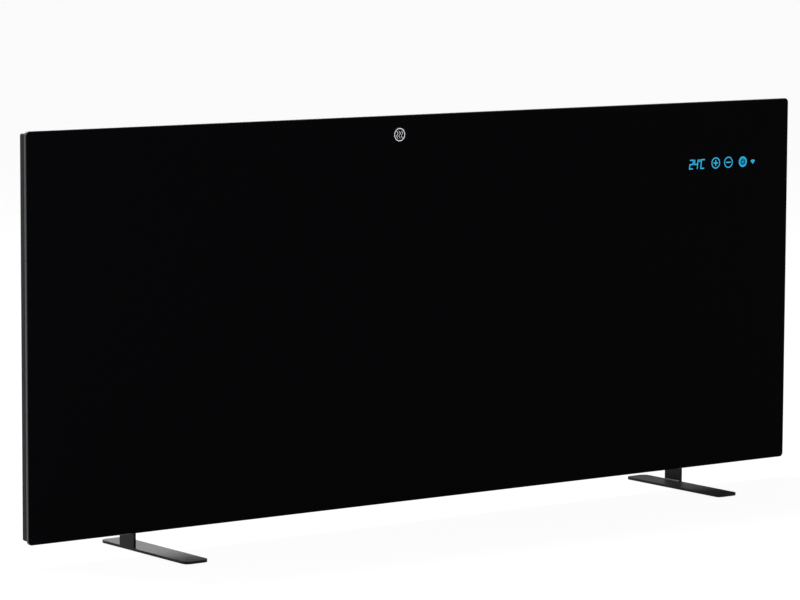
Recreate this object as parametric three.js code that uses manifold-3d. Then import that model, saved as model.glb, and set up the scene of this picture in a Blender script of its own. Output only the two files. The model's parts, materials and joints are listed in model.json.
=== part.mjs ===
// Infrared panel heater: a black glass front bonded to a shallow steel body, standing on two bent steel feet.
// Millimetres, +Z up, +X to the right of someone facing the glass, +Y to the back.
// The origin lies on the floor, under the middle of the feet.
import * as THREE from "three";
import { mergeVertices } from "three/addons/utils/BufferGeometryUtils.js";
import Module from "manifold-3d";

const wasm = await Module();
wasm.setup();

// ---------------------------------------------------------------- driving dimensions

// Glass front
const glassWidth = 1104;
const glassHeight = 450;
const glassThickness = 4;
const glassCornerRadius = 5;
const glassArris = 0.5; // ground bevel round both faces
const floorClearance = 25; // floor to the lower edge of the glass

// Body behind the glass
const adhesiveThickness = 1;
const adhesiveWidth = 9;
const frameDepth = 12;
const frameWidth = 12;
const frameWall = 1.5;
const frameClearance = 0.3; // carrier frame inside the folded walls of the tray
const frameEdge = 0.8; // drawn-in edges of the frame, clear of the tray's folds
const trayInset = 3; // glass overhangs the tray by this much all round
const traySheet = 1;
const trayCornerRadius = 2.2;
const trayBend = 1.8; // outside radius of the fold between back and walls
const beadWidth = 10;
const beadHeight = 1;
const beadSpacing = 130;
const beadMargin = 50; // end of a bead to the edge of the glass

// Heating stack
const filmMargin = 30; // film edge to glass edge
const filmThickness = 0.5;
const busbarWidth = 7;
const busbarThickness = 0.3;
const busbarMargin = 2; // busbar to film edge
const foilThickness = 0.5;
const boardClearance = 1.7; // insulation to carrier frame
const limiterRadius = 8;
const limiterBodyHeight = 5;
const limiterCapRadius = 6;
const limiterCapHeight = 3.5;
const limiterPocketRadius = 13;
const limiterFromEnd = 300; // from each end of the glass
const limiterOffset = 45; // left one above and right one below the middle

// Display and touch field, measured from the right and top edges of the glass
const iconFromTop = 75.5;
const digitsFromRight = 149;
const touchKeys = [
  ["touch_pad_plus", 118],
  ["touch_pad_minus", 97.3],
  ["touch_pad_power", 73.5],
];
const signalFromRight = 56.5;
const carrierFromRight = 108;
const carrierWidth = 144;
const carrierHeight = 45;
const carrierWall = 2;
const carrierLedge = 1.5;
const carrierLip = 2.5; // wall standing past the touch board's front face
const touchGap = 4.5; // glass to touch board
const boardThickness = 1.6; // both circuit boards
const guideWidth = 30;
const guideHeight = 17;
const guideWall = 1.5;
const touchPadRadius = 6.5;
const touchPadBore = 4;
const lightPipeRadius = 3.5;
const fitClearance = 0.3;

// Control box on the back
const boxFromRight = 117;
const boxFromTop = 80;
const boxWidth = 164;
const boxHeight = 104;
const boxDepth = 26;
const boxWall = 2;
const boxCornerRadius = 6;
const boxEdge = 2.4;
const boxFlange = 8;
const boxFlangeThickness = 2.5;
const bayMargin = 3; // notch in the insulation round the box flange
const ventWidth = 2.4;
const ventLength = 52;
const ventPitch = 6;
const ventCount = 15;
const passageFromRight = 40;
const passageWidth = 46;
const passageHeight = 14;

// Power board and what stands on it
const standoffHeight = 5;
const standoffRadius = 2.6;
const powerBoardWidth = 128;
const powerBoardMargin = 6; // board to the left and top inside walls of the box
const powerBoardLift = 18; // room under the board for the gland and the leads
const standoffInset = 5;
const relaySize = [29, 13, 15.5]; // along X, Z and Y
const relayPlace = [86, 6]; // lower left corner, from the board's
const supplySize = [34, 22, 14.5];
const supplyPlace = [40, 36];
const wirelessSize = [24, 16, 3];
const wirelessFromLeft = 98;
const wirelessFromTop = 8;
const tiltSize = [8, 8, 8];
const tiltPlace = [92, 32];
const terminalSize = [30, 12, 13];
const terminalPlace = [4, 3];
const terminalPoles = 3;
const terminalWay = 3; // half the width of an entry
const capacitorRadius = 5;
const capacitorHeight = 14;
const capacitorFromCorner = [22, 20]; // axis from the board's upper left corner
const fusePlace = [48, 12]; // left end and axis, from the board's lower left corner
const fuseRadius = 2.6;
const fuseLength = 20;
const fuseClip = 6;

// Cable gland, room sensor and earth stud
const glandFromLeft = 27; // gland axis to the left outside wall of the box
const glandDepth = 14.5; // gland axis behind the tray
const glandBore = 4.2; // radius, as are the two below
const glandBarrel = 7.8;
const glandBarrelInside = 7;
const glandHexRadius = 10.4;
const glandHexHeight = 5;
const glandNutHeight = 10;
const glandNutRadius = 9.6;
const glandNeckRadius = 6.2;
const sensorFromRight = 34;
const sensorRadius = 3;
const sensorLength = 15;
const earthStudRadius = 2;
const earthStudLength = 11;
const earthNutRadius = 4;
const earthNutHeight = 3.2;
const earthInset = 9; // stud to the inside walls of the box

// Mains rocker switch in the right wall of the box
const switchFromTop = 27; // pivot below the top outside wall of the box
const switchDepth = 13;
const switchBodyHeight = 19.6;
const switchBodyWidth = 13;
const switchBodyDepth = 13;
const switchWall = 0.9;
const bezelMargin = 1.5;
const bezelThickness = 1.8;
const keyRadius = 8.4;
const keyCrown = 3; // pivot to the valley between the two key faces
const keyTilt = THREE.MathUtils.degToRad(9.4); // each way from the middle
const keySide = 0.3; // side clearance of the key in its pocket
const pivotRadius = 1.2;
const pivotLength = 0.8;
const pivotClearance = 0.25;
const pocketDepth = 9.5;
const spadeSize = [7, 0.8, 6.3]; // length, thickness, width

// Feet
const footFromEnd = 149; // outer edge of a foot to the end of the glass
const footLength = 175;
const footWidth = 32;
const footSheet = 3;
const footCornerRadius = 8;
const footBendInside = 2; // between tab and flange
const footWeld = 1.2; // weld bead between bar and tab
const footTabDepth = 29;
const footFlangeWidth = 33;
const footFlangeHeight = 64;
const footFlangeLift = 12; // lower edge of the flange above the lower edge of the tray
const footFlangeCorner = 5;
const padThickness = 1;
const padSize = 24;
const padFromEnd = 5;
const backingThickness = 3;
const backingWidth = 24;
const backingHeight = 52;

// Fasteners: shank radius, head radius, head height
const footScrew = { shank: 2.4, head: 4.6, height: 3.2, socket: 1.5, spacing: 32, reach: 8 };
const traySheetScrew = { shank: 1.4, head: 2.8, height: 1.8, reach: 3 };
const screwClearance = 0.3;
const trayScrewFromEdge = 75; // screws in the ends, from the upper and lower edges of the glass
const trayScrewFromEnd = 252; // screws along the top and bottom, from the ends of the glass

// Leads from the busbars to the terminal block
const leadRadius = 1.5;

// ---------------------------------------------------------------- planes and places worked out from them

const glassRearY = 0;
const glassFrontY = glassRearY - glassThickness;
const frameFrontY = glassRearY + adhesiveThickness;
const trayInnerY = frameFrontY + frameDepth;
const trayRearY = trayInnerY + traySheet;
const midZ = floorClearance + glassHeight / 2;
const topZ = floorClearance + glassHeight;
const rightX = glassWidth / 2;

const trayWidth = glassWidth - 2 * trayInset;
const trayHeight = glassHeight - 2 * trayInset;
const frameOuterWidth = trayWidth - 2 * (traySheet + frameClearance);
const frameOuterHeight = trayHeight - 2 * (traySheet + frameClearance);
const frameInnerWidth = frameOuterWidth - 2 * frameWidth;
const frameInnerHeight = frameOuterHeight - 2 * frameWidth;

const boxX = rightX - boxFromRight;
const boxZ = topZ - boxFromTop;
const boxLeft = boxX - boxWidth / 2;
const boxRight = boxX + boxWidth / 2;
const boxBottom = boxZ - boxHeight / 2;
const boxTop = boxZ + boxHeight / 2;
const boxRearY = trayRearY + boxDepth;
const bay = {
  left: boxLeft - boxFlange - bayMargin,
  right: boxRight + boxFlange + bayMargin,
  bottom: boxBottom - boxFlange - bayMargin,
};

const carrierX = rightX - carrierFromRight;
const iconZ = topZ - iconFromTop;
const touchBoardRearY = glassRearY + touchGap + boardThickness;

const powerBoardLeft = boxLeft + boxWall + powerBoardMargin;
const powerBoardBottom = boxBottom + boxWall + powerBoardLift;
const powerBoardTop = boxTop - boxWall - powerBoardMargin;
const powerBoardHeight = powerBoardTop - powerBoardBottom;
const powerBoardX = powerBoardLeft + powerBoardWidth / 2;
const powerBoardZ = (powerBoardBottom + powerBoardTop) / 2;
const powerBoardY = trayRearY + standoffHeight;
const partsY = powerBoardY + boardThickness;

const glandX = boxLeft + glandFromLeft;
const glandY = trayRearY + glandDepth;
const passX = boxRight - passageFromRight - passageWidth / 2;
const passZ = boxBottom + boxWall + 1 + passageHeight / 2;
const switchZ = boxTop - switchFromTop;
const switchY = trayRearY + switchDepth;
const bezelFrontX = boxRight + bezelThickness;
const pivotX = bezelFrontX - keyCrown;

const footOuterX = rightX - footFromEnd;
const footBendOutside = footBendInside + footSheet;
const footBaseZ = padThickness;
const footFlangeBottom = floorClearance + trayInset + footFlangeLift;
const footFlangeTop = footFlangeBottom + footFlangeHeight;
const footTabFront = trayRearY + footSheet;
const footTabRear = footTabFront + footTabDepth;
const footX = footOuterX - footWidth / 2;
const footScrewX = footOuterX - footFlangeWidth / 2 - footSheet / 2;
const footScrewMidZ = (footFlangeBottom + footFlangeTop) / 2;

// ---------------------------------------------------------------- materials

function finish(color, roughness, metalness = 0) {
  return new THREE.MeshStandardMaterial({ color, roughness, metalness });
}
const blackGlass = finish(0x050506, 0.05);
const silicone = finish(0x0c0c0d, 0.6);
const bareAluminium = finish(0xa9abad, 0.4, 1);
const powderCoat = finish(0x26282b, 0.45);
const footCoat = finish(0x1d1f22, 0.35);
const carbonFilm = finish(0x17181a, 0.55);
const copperFoil = finish(0xb87345, 0.35, 1);
const fibreBoard = finish(0xd8d2c4, 0.95);
const brightFoil = finish(0xc9cbcd, 0.25, 1);
const blackPlastic = finish(0x18191b, 0.5);
const whitePlastic = finish(0xe4e5e3, 0.5);
const foam = finish(0x2f3135, 0.9);
const clearPlastic = finish(0xcfe7ef, 0.15);
const greenBoard = finish(0x1f5a3c, 0.45);
const zincSteel = finish(0x9b9d9f, 0.4, 1);
const blackScrew = finish(0x1b1c1e, 0.4, 1);
const rubber = finish(0x121212, 0.85);
const brass = finish(0xb39a55, 0.35, 1);
const relayBlue = finish(0x1f4e8c, 0.45);
const ceramic = finish(0xe9e6dd, 0.35);
const redLead = finish(0x9e2b25, 0.5);
const greyLead = finish(0x55585c, 0.5);

// ---------------------------------------------------------------- geometry helpers

const heater = new THREE.Group();
heater.name = "infrared_panel_heater";

// A closed geometry as a solid that can be cut and joined.
function solid(geometry) {
  const bare = new THREE.BufferGeometry();
  bare.setAttribute("position", geometry.getAttribute("position"));
  if (geometry.index) bare.setIndex(geometry.index);
  const merged = mergeVertices(bare, 1e-4);
  return new wasm.Manifold(
    new wasm.Mesh({
      numProp: 3,
      vertProperties: new Float32Array(merged.attributes.position.array),
      triVerts: new Uint32Array(merged.index.array),
    }),
  );
}

function join(first, ...others) {
  return others.reduce((sum, other) => sum.add(solid(other)), solid(first));
}

function cut(body, ...tools) {
  return tools.reduce((rest, tool) => rest.subtract(solid(tool)), body);
}

function geometryOf(body) {
  const mesh = body.getMesh();
  const geometry = new THREE.BufferGeometry();
  geometry.setAttribute("position", new THREE.BufferAttribute(new Float32Array(mesh.vertProperties), 3));
  geometry.setIndex(new THREE.BufferAttribute(new Uint32Array(mesh.triVerts), 1));
  geometry.computeVertexNormals();
  return geometry;
}

// Adds one named piece to the heater. A shape is a three.js geometry or a cut solid.
function piece(name, shape, material, parent = heater) {
  const mesh = new THREE.Mesh(shape.isBufferGeometry ? shape : geometryOf(shape), material);
  mesh.name = name;
  parent.add(mesh);
  return mesh;
}

// A rectangle with round corners, centred on (x, y) of its own plane.
function roundRect(width, height, radius, x = 0, y = 0) {
  const [w, h, r] = [width / 2, height / 2, Math.min(radius, width / 2, height / 2)];
  const shape = new THREE.Shape();
  shape.moveTo(x - w + r, y - h);
  shape.absarc(x + w - r, y - h + r, r, -Math.PI / 2, 0);
  shape.absarc(x + w - r, y + h - r, r, 0, Math.PI / 2);
  shape.absarc(x - w + r, y + h - r, r, Math.PI / 2, Math.PI);
  shape.absarc(x - w + r, y - h + r, r, Math.PI, 1.5 * Math.PI);
  return shape;
}

function outline(points) {
  return new THREE.Shape(points.map(([x, y]) => new THREE.Vector2(x, y)));
}

// A shape drawn in X and Z, carried along Y from one plane to another. A bevel draws both ends in.
function upright(shape, fromY, toY, { bevel = 0, steps = 1, curve = 4 } = {}) {
  const geometry = new THREE.ExtrudeGeometry(shape, {
    depth: toY - fromY - 2 * bevel,
    bevelEnabled: bevel > 0,
    bevelThickness: bevel,
    bevelSize: bevel,
    bevelOffset: -bevel,
    bevelSegments: steps,
    curveSegments: curve,
  });
  geometry.rotateX(Math.PI / 2);
  return geometry.translate(0, toY - bevel, 0);
}

// A shape drawn in X and Y, carried up Z.
function standing(shape, fromZ, toZ, curve = 4) {
  const geometry = new THREE.ExtrudeGeometry(shape, {
    depth: toZ - fromZ,
    bevelEnabled: false,
    curveSegments: curve,
  });
  return geometry.translate(0, 0, fromZ);
}

function block(minimum, maximum) {
  const size = maximum.map((value, axis) => value - minimum[axis]);
  const middle = maximum.map((value, axis) => (value + minimum[axis]) / 2);
  return new THREE.BoxGeometry(...size).translate(...middle);
}

// A round bar along Y, at (x, z).
function rodY(radius, fromY, toY, x, z, sides = 16) {
  return new THREE.CylinderGeometry(radius, radius, toY - fromY, sides).translate(x, (fromY + toY) / 2, z);
}

// A profile of [radius, height] points, turned round an upright axis through (x, y).
function turnedZ(profile, x, y, z, sides = 20) {
  const points = profile.map(([radius, height]) => new THREE.Vector2(radius, height));
  return new THREE.LatheGeometry(points, sides).rotateX(Math.PI / 2).translate(x, y, z);
}

// The same, turned round an axis along Y through (x, z); height runs to the back.
function turnedY(profile, x, y, z, sides = 16) {
  const points = profile.map(([radius, height]) => new THREE.Vector2(radius, height));
  return new THREE.LatheGeometry(points, sides).translate(x, y, z);
}

// ---------------------------------------------------------------- glass, adhesive and carrier frame

function addGlass() {
  const sheet = roundRect(glassWidth, glassHeight, glassCornerRadius, 0, midZ);
  piece("front_glass", upright(sheet, glassFrontY, glassRearY, { bevel: glassArris, curve: 6 }), blackGlass);
}

// The bead lies on the front flange of the frame and holds the glass to it.
function addAdhesive() {
  const inset = (frameWidth - adhesiveWidth) / 2;
  const ring = roundRect(frameOuterWidth - 2 * inset, frameOuterHeight - 2 * inset, 2, 0, midZ);
  ring.holes.push(roundRect(frameInnerWidth + 2 * inset, frameInnerHeight + 2 * inset, 1, 0, midZ));
  piece("adhesive_bead", upright(ring, glassRearY, frameFrontY, { curve: 3 }), silicone);
}

// A channel section with its open side towards the middle, mitred and welded at the corners.
function addFrame() {
  const ring = roundRect(frameOuterWidth, frameOuterHeight, trayCornerRadius - traySheet, 0, midZ);
  ring.holes.push(roundRect(frameInnerWidth, frameInnerHeight, 0.5, 0, midZ));
  const groove = roundRect(frameOuterWidth - 2 * frameWall, frameOuterHeight - 2 * frameWall, 1, 0, midZ);
  const body = solid(upright(ring, frameFrontY, trayInnerY, { bevel: frameEdge, curve: 3 }));
  const tools = [upright(groove, frameFrontY + frameWall, trayInnerY - frameWall, { curve: 3 })];
  const threadRadius = traySheetScrew.shank + screwClearance / 2;
  for (const [x, z] of trayScrewSpots()) {
    tools.push(rodY(threadRadius, trayInnerY - 2 * frameWall, trayInnerY + 1, x, z, 12));
  }
  piece("carrier_frame", cut(body, ...tools), bareAluminium);
}

// Screws on the middle of the frame's back flange: two at each end, two along the top, two along the bottom.
function trayScrewSpots() {
  const sideX = frameOuterWidth / 2 - frameWidth / 2;
  const endZ = frameOuterHeight / 2 - frameWidth / 2;
  const spots = [];
  for (const across of [-1, 1]) {
    for (const up of [-1, 1]) {
      spots.push([across * sideX, midZ + up * (glassHeight / 2 - trayScrewFromEdge)]);
      spots.push([across * (rightX - trayScrewFromEnd), midZ + up * endZ]);
    }
  }
  return spots;
}

function boxScrewSpots() {
  const x = boxWidth / 2 + boxFlange / 2;
  const z = boxHeight / 2 + boxFlange / 2;
  return [
    [boxX - x, boxZ - z],
    [boxX + x, boxZ - z],
    [boxX - x, boxZ + z],
    [boxX + x, boxZ + z],
  ];
}

function footScrewSpots() {
  const spots = [];
  for (const side of [-1, 1]) {
    for (const up of [-1, 1]) spots.push([side * footScrewX, footScrewMidZ + (up * footScrew.spacing) / 2]);
  }
  return spots;
}

function standoffSpots() {
  const x = powerBoardWidth / 2 - standoffInset;
  const z = powerBoardHeight / 2 - standoffInset;
  return [
    [powerBoardX - x, powerBoardZ - z],
    [powerBoardX + x, powerBoardZ - z],
    [powerBoardX - x, powerBoardZ + z],
    [powerBoardX + x, powerBoardZ + z],
  ];
}

// ---------------------------------------------------------------- folded steel tray

// Stiffening beads run along the back. The top one stops short of the control box.
function beadRuns() {
  const left = -rightX + beadMargin;
  const right = rightX - beadMargin;
  return [
    [left, right, midZ - beadSpacing],
    [left, right, midZ],
    [left, boxLeft - boxFlange - beadMargin / 2, midZ + beadSpacing],
  ];
}

function bead([left, right, z], width, fromY, toY) {
  return upright(roundRect(right - left, width, width / 2, (left + right) / 2, z), fromY, toY);
}

function passage(fromY, toY) {
  return upright(roundRect(passageWidth, passageHeight, 2, passX, passZ), fromY, toY, { curve: 2 });
}

// The tray is drawn as a box with folded rear edges; everything in front of the rim is cut off it.
function addTray() {
  const past = 10; // how far the drawn box runs past the rim
  const outer = roundRect(trayWidth, trayHeight, trayCornerRadius, 0, midZ);
  const [innerWidth, innerHeight] = [trayWidth - 2 * traySheet, trayHeight - 2 * traySheet];
  const inner = roundRect(innerWidth, innerHeight, trayCornerRadius - traySheet, 0, midZ);
  const innerBend = Math.max(trayBend - traySheet, 0.1);
  const beadTop = trayRearY + beadHeight;
  const groove = beadWidth - 2 * traySheet;
  let body = solid(upright(outer, frameFrontY - past, trayRearY, { bevel: trayBend, steps: 3 }));
  for (const run of beadRuns()) {
    body = body.add(solid(bead(run, beadWidth, trayInnerY + traySheet / 2, beadTop)));
  }
  for (const [x, z] of standoffSpots()) {
    body = body.add(solid(rodY(standoffRadius, trayInnerY + traySheet / 2, powerBoardY, x, z, 12)));
  }
  const tools = [
    block([-glassWidth, frameFrontY - 2 * past, 0], [glassWidth, frameFrontY, 2 * glassHeight]),
    upright(inner, frameFrontY - 2 * past, trayInnerY, { bevel: innerBend, steps: 2 }),
    passage(trayInnerY - 1, trayRearY + 1),
  ];
  for (const run of beadRuns()) tools.push(bead(run, groove, trayInnerY - 1, beadTop - traySheet));
  for (const [x, z] of [...trayScrewSpots(), ...boxScrewSpots()]) {
    tools.push(rodY(traySheetScrew.shank + screwClearance, trayInnerY - 1, trayRearY + 1, x, z, 12));
  }
  for (const [x, z] of footScrewSpots()) {
    tools.push(rodY(footScrew.shank + screwClearance, trayInnerY - 1, trayRearY + 1, x, z, 14));
  }
  piece("rear_tray", cut(body, ...tools), powderCoat);
}

// ---------------------------------------------------------------- heating stack

// The film leaves the corner behind the touch field free.
const filmRight = rightX - filmMargin;
const filmBottom = floorClearance + filmMargin;
const filmTop = topZ - filmMargin;
const filmNotchX = carrierX - carrierWidth / 2 - 10;
const filmNotchZ = iconZ - carrierHeight / 2 - 10;

function addFilm() {
  const sheet = outline([
    [-filmRight, filmBottom],
    [filmRight, filmBottom],
    [filmRight, filmNotchZ],
    [filmNotchX, filmNotchZ],
    [filmNotchX, filmTop],
    [-filmRight, filmTop],
  ]);
  piece("heating_film", upright(sheet, glassRearY, glassRearY + filmThickness), carbonFilm);
}

// Copper strips along the top and bottom of the film; the lower one rises at the right to the control bay.
function addBusbars() {
  const rear = glassRearY + filmThickness;
  const [left, right] = [-filmRight + busbarMargin, filmRight - busbarMargin];
  const top = filmTop - busbarMargin;
  const bottom = filmBottom + busbarMargin;
  const rise = filmNotchZ - busbarMargin;
  piece(
    "busbar_upper",
    block([left, rear, top - busbarWidth], [filmNotchX - busbarMargin, rear + busbarThickness, top]),
    copperFoil,
  );
  const lower = outline([
    [left, bottom],
    [right, bottom],
    [right, rise],
    [right - busbarWidth, rise],
    [right - busbarWidth, bottom + busbarWidth],
    [left, bottom + busbarWidth],
  ]);
  piece("busbar_lower", upright(lower, rear, rear + busbarThickness), copperFoil);
}

// Insulation and its foil share one outline, notched round the control bay and the feet's backing plates.
function stackSheet(fromY, toY) {
  const width = frameInnerWidth - 2 * boardClearance;
  const height = frameInnerHeight - 2 * boardClearance;
  const sheet = upright(roundRect(width, height, 1, 0, midZ), fromY, toY, { curve: 1 });
  const past = 5;
  const tools = [block([bay.left, fromY - past, bay.bottom], [bay.right, toY + past, topZ])];
  for (const side of [-1, 1]) {
    const half = backingWidth / 2 + 2;
    const [near, far] = [side * footScrewX - half, side * footScrewX + half];
    const top = footScrewMidZ + backingHeight / 2 + 2;
    tools.push(block([near, fromY - past, 0], [far, toY + past, top]));
  }
  return [solid(sheet), tools];
}

function addInsulation() {
  const front = glassRearY + filmThickness + busbarThickness;
  const foilFront = trayInnerY - foilThickness;
  const [board, boardTools] = stackSheet(front, foilFront);
  for (const [, x, z] of limiterSpots()) {
    boardTools.push(rodY(limiterPocketRadius, front - 1, foilFront + 1, x, z, 20));
  }
  piece("insulation_board", cut(board, ...boardTools), fibreBoard);
  const [foil, foilTools] = stackSheet(foilFront, trayInnerY);
  piece("reflector_foil", cut(foil, ...foilTools), brightFoil);
}

// Name and place of each limiter.
function limiterSpots() {
  const x = rightX - limiterFromEnd;
  return [
    ["thermal_limiter_left", -x, midZ + limiterOffset],
    ["thermal_limiter_right", x, midZ - limiterOffset],
  ];
}

// A snap-disc thermostat, its sensing face on the film and two spade terminals at its back.
function addLimiters() {
  const face = glassRearY + filmThickness;
  const capFrom = face + limiterBodyHeight;
  const capTo = capFrom + limiterCapHeight;
  const spadeEnd = trayInnerY - foilThickness - fitClearance;
  for (const [name, x, z] of limiterSpots()) {
    const spade = (side) => {
      const middle = x + (side * limiterCapRadius) / 2;
      const [thin, wide] = [spadeSize[1] / 2, spadeSize[2] / 2];
      return block([middle - thin, capTo - 0.5, z - wide], [middle + thin, spadeEnd, z + wide]);
    };
    const body = join(
      rodY(limiterRadius, face, capFrom, x, z, 24),
      rodY(limiterCapRadius, capFrom - 0.5, capTo, x, z, 24),
      spade(-1),
      spade(1),
    );
    piece(name, body, ceramic);
  }
}

// ---------------------------------------------------------------- display and touch field

function addDisplay() {
  const boardFront = glassRearY + touchGap;
  const carrier = roundRect(carrierWidth, carrierHeight, 3, carrierX, iconZ);
  const well = (margin) =>
    roundRect(carrierWidth - 2 * margin, carrierHeight - 2 * margin, 1.5, carrierX, iconZ);
  const ledgeWell = well(carrierWall + carrierLedge);
  piece(
    "display_carrier",
    cut(
      solid(upright(carrier, glassRearY, boardFront + carrierLip)),
      upright(ledgeWell, glassRearY - 1, boardFront + carrierLip + 1),
      upright(well(carrierWall), boardFront, boardFront + carrierLip + 1),
    ),
    blackPlastic,
  );
  piece(
    "touch_board",
    upright(well(carrierWall + fitClearance), boardFront, touchBoardRearY, { curve: 2 }),
    greenBoard,
  );
  addLightGuide(boardFront);
  for (const [name, fromRight] of touchKeys) {
    const ring = [
      [touchPadBore, 0],
      [touchPadRadius, 0],
      [touchPadRadius, touchGap],
      [touchPadBore, touchGap],
      [touchPadBore, 0],
    ];
    piece(name, turnedY(ring, rightX - fromRight, glassRearY, iconZ), foam);
  }
  const pipe = rodY(lightPipeRadius, glassRearY, boardFront, rightX - signalFromRight, iconZ);
  piece("signal_light_pipe", pipe, clearPlastic);
}

// A white block with one well for each of the three characters, so that the segments don't light each other.
function addLightGuide(boardFront) {
  const x = rightX - digitsFromRight;
  const wells = 3;
  const wellWidth = (guideWidth - (wells + 1) * guideWall) / wells;
  const tools = [];
  for (let n = 0; n < wells; n += 1) {
    const left = x - guideWidth / 2 + guideWall + n * (wellWidth + guideWall);
    const low = iconZ - guideHeight / 2 + guideWall;
    const high = iconZ + guideHeight / 2 - guideWall;
    tools.push(block([left, glassRearY - 1, low], [left + wellWidth, boardFront + 1, high]));
  }
  const blank = roundRect(guideWidth, guideHeight, 1, x, iconZ);
  const body = solid(upright(blank, glassRearY, boardFront, { curve: 2 }));
  piece("digit_light_guide", cut(body, ...tools), whitePlastic);
}

// ---------------------------------------------------------------- control box

function addBoxCover() {
  const flange = roundRect(boxWidth + 2 * boxFlange, boxHeight + 2 * boxFlange, boxCornerRadius, boxX, boxZ);
  const shell = roundRect(boxWidth, boxHeight, boxCornerRadius, boxX, boxZ);
  const [innerWidth, innerHeight] = [boxWidth - 2 * boxWall, boxHeight - 2 * boxWall];
  const inside = roundRect(innerWidth, innerHeight, boxCornerRadius - boxWall, boxX, boxZ);
  const past = 10; // the drawn shell runs past the tray, and what is in front of it is cut off
  const body = solid(upright(shell, trayRearY - past, boxRearY, { bevel: boxEdge, steps: 3 })).add(
    solid(upright(flange, trayRearY, trayRearY + boxFlangeThickness)),
  );
  const tools = [
    block([boxLeft - past, trayRearY - 2 * past, 0], [boxRight + past, trayRearY, 2 * topZ]),
    upright(inside, trayRearY - 2 * past, boxRearY - boxWall, { bevel: 1 }),
    switchCutout(),
    turnedZ(disc(glandBarrel + fitClearance, 2 * boxWall + 2), glandX, glandY, boxBottom - boxWall - 1),
    turnedZ(disc(sensorRadius + fitClearance, 2 * boxWall + 2), sensorX(), glandY, boxBottom - boxWall - 1),
  ];
  const holeRadius = traySheetScrew.shank + screwClearance;
  for (const [x, z] of boxScrewSpots()) {
    tools.push(rodY(holeRadius, trayRearY - 1, trayRearY + boxFlangeThickness + 1, x, z, 12));
  }
  const firstVent = boxX - ((ventCount - 1) * ventPitch) / 2;
  for (let n = 0; n < ventCount; n += 1) {
    const slot = roundRect(ventWidth, ventLength, ventWidth / 2, firstVent + n * ventPitch, boxZ);
    tools.push(upright(slot, boxRearY - boxWall - 1, boxRearY + 1, { curve: 2 }));
  }
  piece("control_box_cover", cut(body, ...tools), powderCoat);
}

function disc(radius, height) {
  return [
    [0, 0],
    [radius, 0],
    [radius, height],
    [0, height],
  ];
}

function switchCutout() {
  const high = switchBodyHeight / 2 + fitClearance;
  const wide = switchBodyWidth / 2 + fitClearance;
  return block(
    [boxRight - boxWall - 1, switchY - wide, switchZ - high],
    [boxRight + 1, switchY + wide, switchZ + high],
  );
}

function addPowerBoard() {
  const sheet = roundRect(powerBoardWidth, powerBoardHeight, 2, powerBoardX, powerBoardZ);
  piece("power_board", upright(sheet, powerBoardY, partsY, { curve: 2 }), greenBoard);
}

// A part standing on the power board: x and z are from the board's lower left corner to the part's.
function onBoard(size, [x, z]) {
  const left = powerBoardLeft + x;
  const bottom = powerBoardBottom + z;
  return block([left, partsY, bottom], [left + size[0], partsY + size[2], bottom + size[1]]);
}

function addBoardParts() {
  const wirelessUp = powerBoardHeight - wirelessSize[1] - wirelessFromTop;
  const [across, down] = capacitorFromCorner;
  const can = [powerBoardLeft + across, powerBoardTop - down];
  piece("relay", onBoard(relaySize, relayPlace), relayBlue);
  piece("power_supply_module", onBoard(supplySize, supplyPlace), blackPlastic);
  piece("wireless_module", onBoard(wirelessSize, [wirelessFromLeft, wirelessUp]), zincSteel);
  piece("tilt_sensor", onBoard(tiltSize, tiltPlace), blackPlastic);
  piece("smoothing_capacitor", rodY(capacitorRadius, partsY, partsY + capacitorHeight, ...can), blackPlastic);
  addFuse();
  addTerminals();
}

// A glass cartridge fuse in two clips.
function addFuse() {
  const [left, z] = [powerBoardLeft + fusePlace[0], powerBoardBottom + fusePlace[1]];
  const axisY = partsY + fuseRadius + 1;
  const clip = (x) =>
    block([x, partsY, z - fuseRadius - 1], [x + fuseClip, axisY + fuseRadius / 2, z + fuseRadius + 1]);
  const tube = new THREE.CylinderGeometry(fuseRadius, fuseRadius, fuseLength, 16)
    .rotateZ(Math.PI / 2)
    .translate(left + fuseLength / 2, axisY, z);
  piece("fuse", join(tube, clip(left), clip(left + fuseLength - fuseClip)), ceramic);
}

// A screw terminal block: one entry hole towards the gland and one screw hole at the back for each pole.
const terminalEntryY = partsY + 1.5 + terminalWay;
const terminalEntryZ = powerBoardBottom + terminalPlace[1];

function terminalX(pole) {
  return powerBoardLeft + terminalPlace[0] + ((pole + 0.5) * terminalSize[0]) / terminalPoles;
}

function addTerminals() {
  const middleZ = terminalEntryZ + terminalSize[1] / 2;
  const rear = partsY + terminalSize[2];
  const [front, back] = [terminalEntryY - terminalWay, terminalEntryY + terminalWay];
  const tools = [];
  for (let n = 0; n < terminalPoles; n += 1) {
    const x = terminalX(n);
    tools.push(block([x - terminalWay, front, terminalEntryZ - 1], [x + terminalWay, back, middleZ]));
    tools.push(rodY(terminalWay * 0.7, back + 1, rear + 1, x, middleZ, 12));
  }
  piece("terminal_block", cut(solid(onBoard(terminalSize, terminalPlace)), ...tools), whitePlastic);
}

// ---------------------------------------------------------------- gland, sensor and earth stud

// The gland stands in the lower wall of the box: its hexagon outside, its barrel through the wall.
function addGland() {
  const hexTop = boxBottom;
  const hexBottom = hexTop - glandHexHeight;
  const neck = hexBottom - glandNutHeight / 2;
  const barrelTop = boxBottom + boxWall + glandBarrelInside;
  const hexagon = new THREE.CylinderGeometry(glandHexRadius, glandHexRadius, glandHexHeight, 6)
    .rotateX(Math.PI / 2)
    .translate(glandX, glandY, hexTop - glandHexHeight / 2);
  const bore = turnedZ(disc(glandBore, barrelTop - neck + 2), glandX, glandY, neck - 1);
  const body = join(
    hexagon,
    turnedZ(disc(glandBarrel, barrelTop - hexTop + 1), glandX, glandY, hexTop - 1),
    turnedZ(disc(glandNeckRadius, hexBottom - neck + 1), glandX, glandY, neck),
  );
  piece("cable_gland", cut(body, bore), blackPlastic);
  addGlandNut(hexBottom);
}

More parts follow.
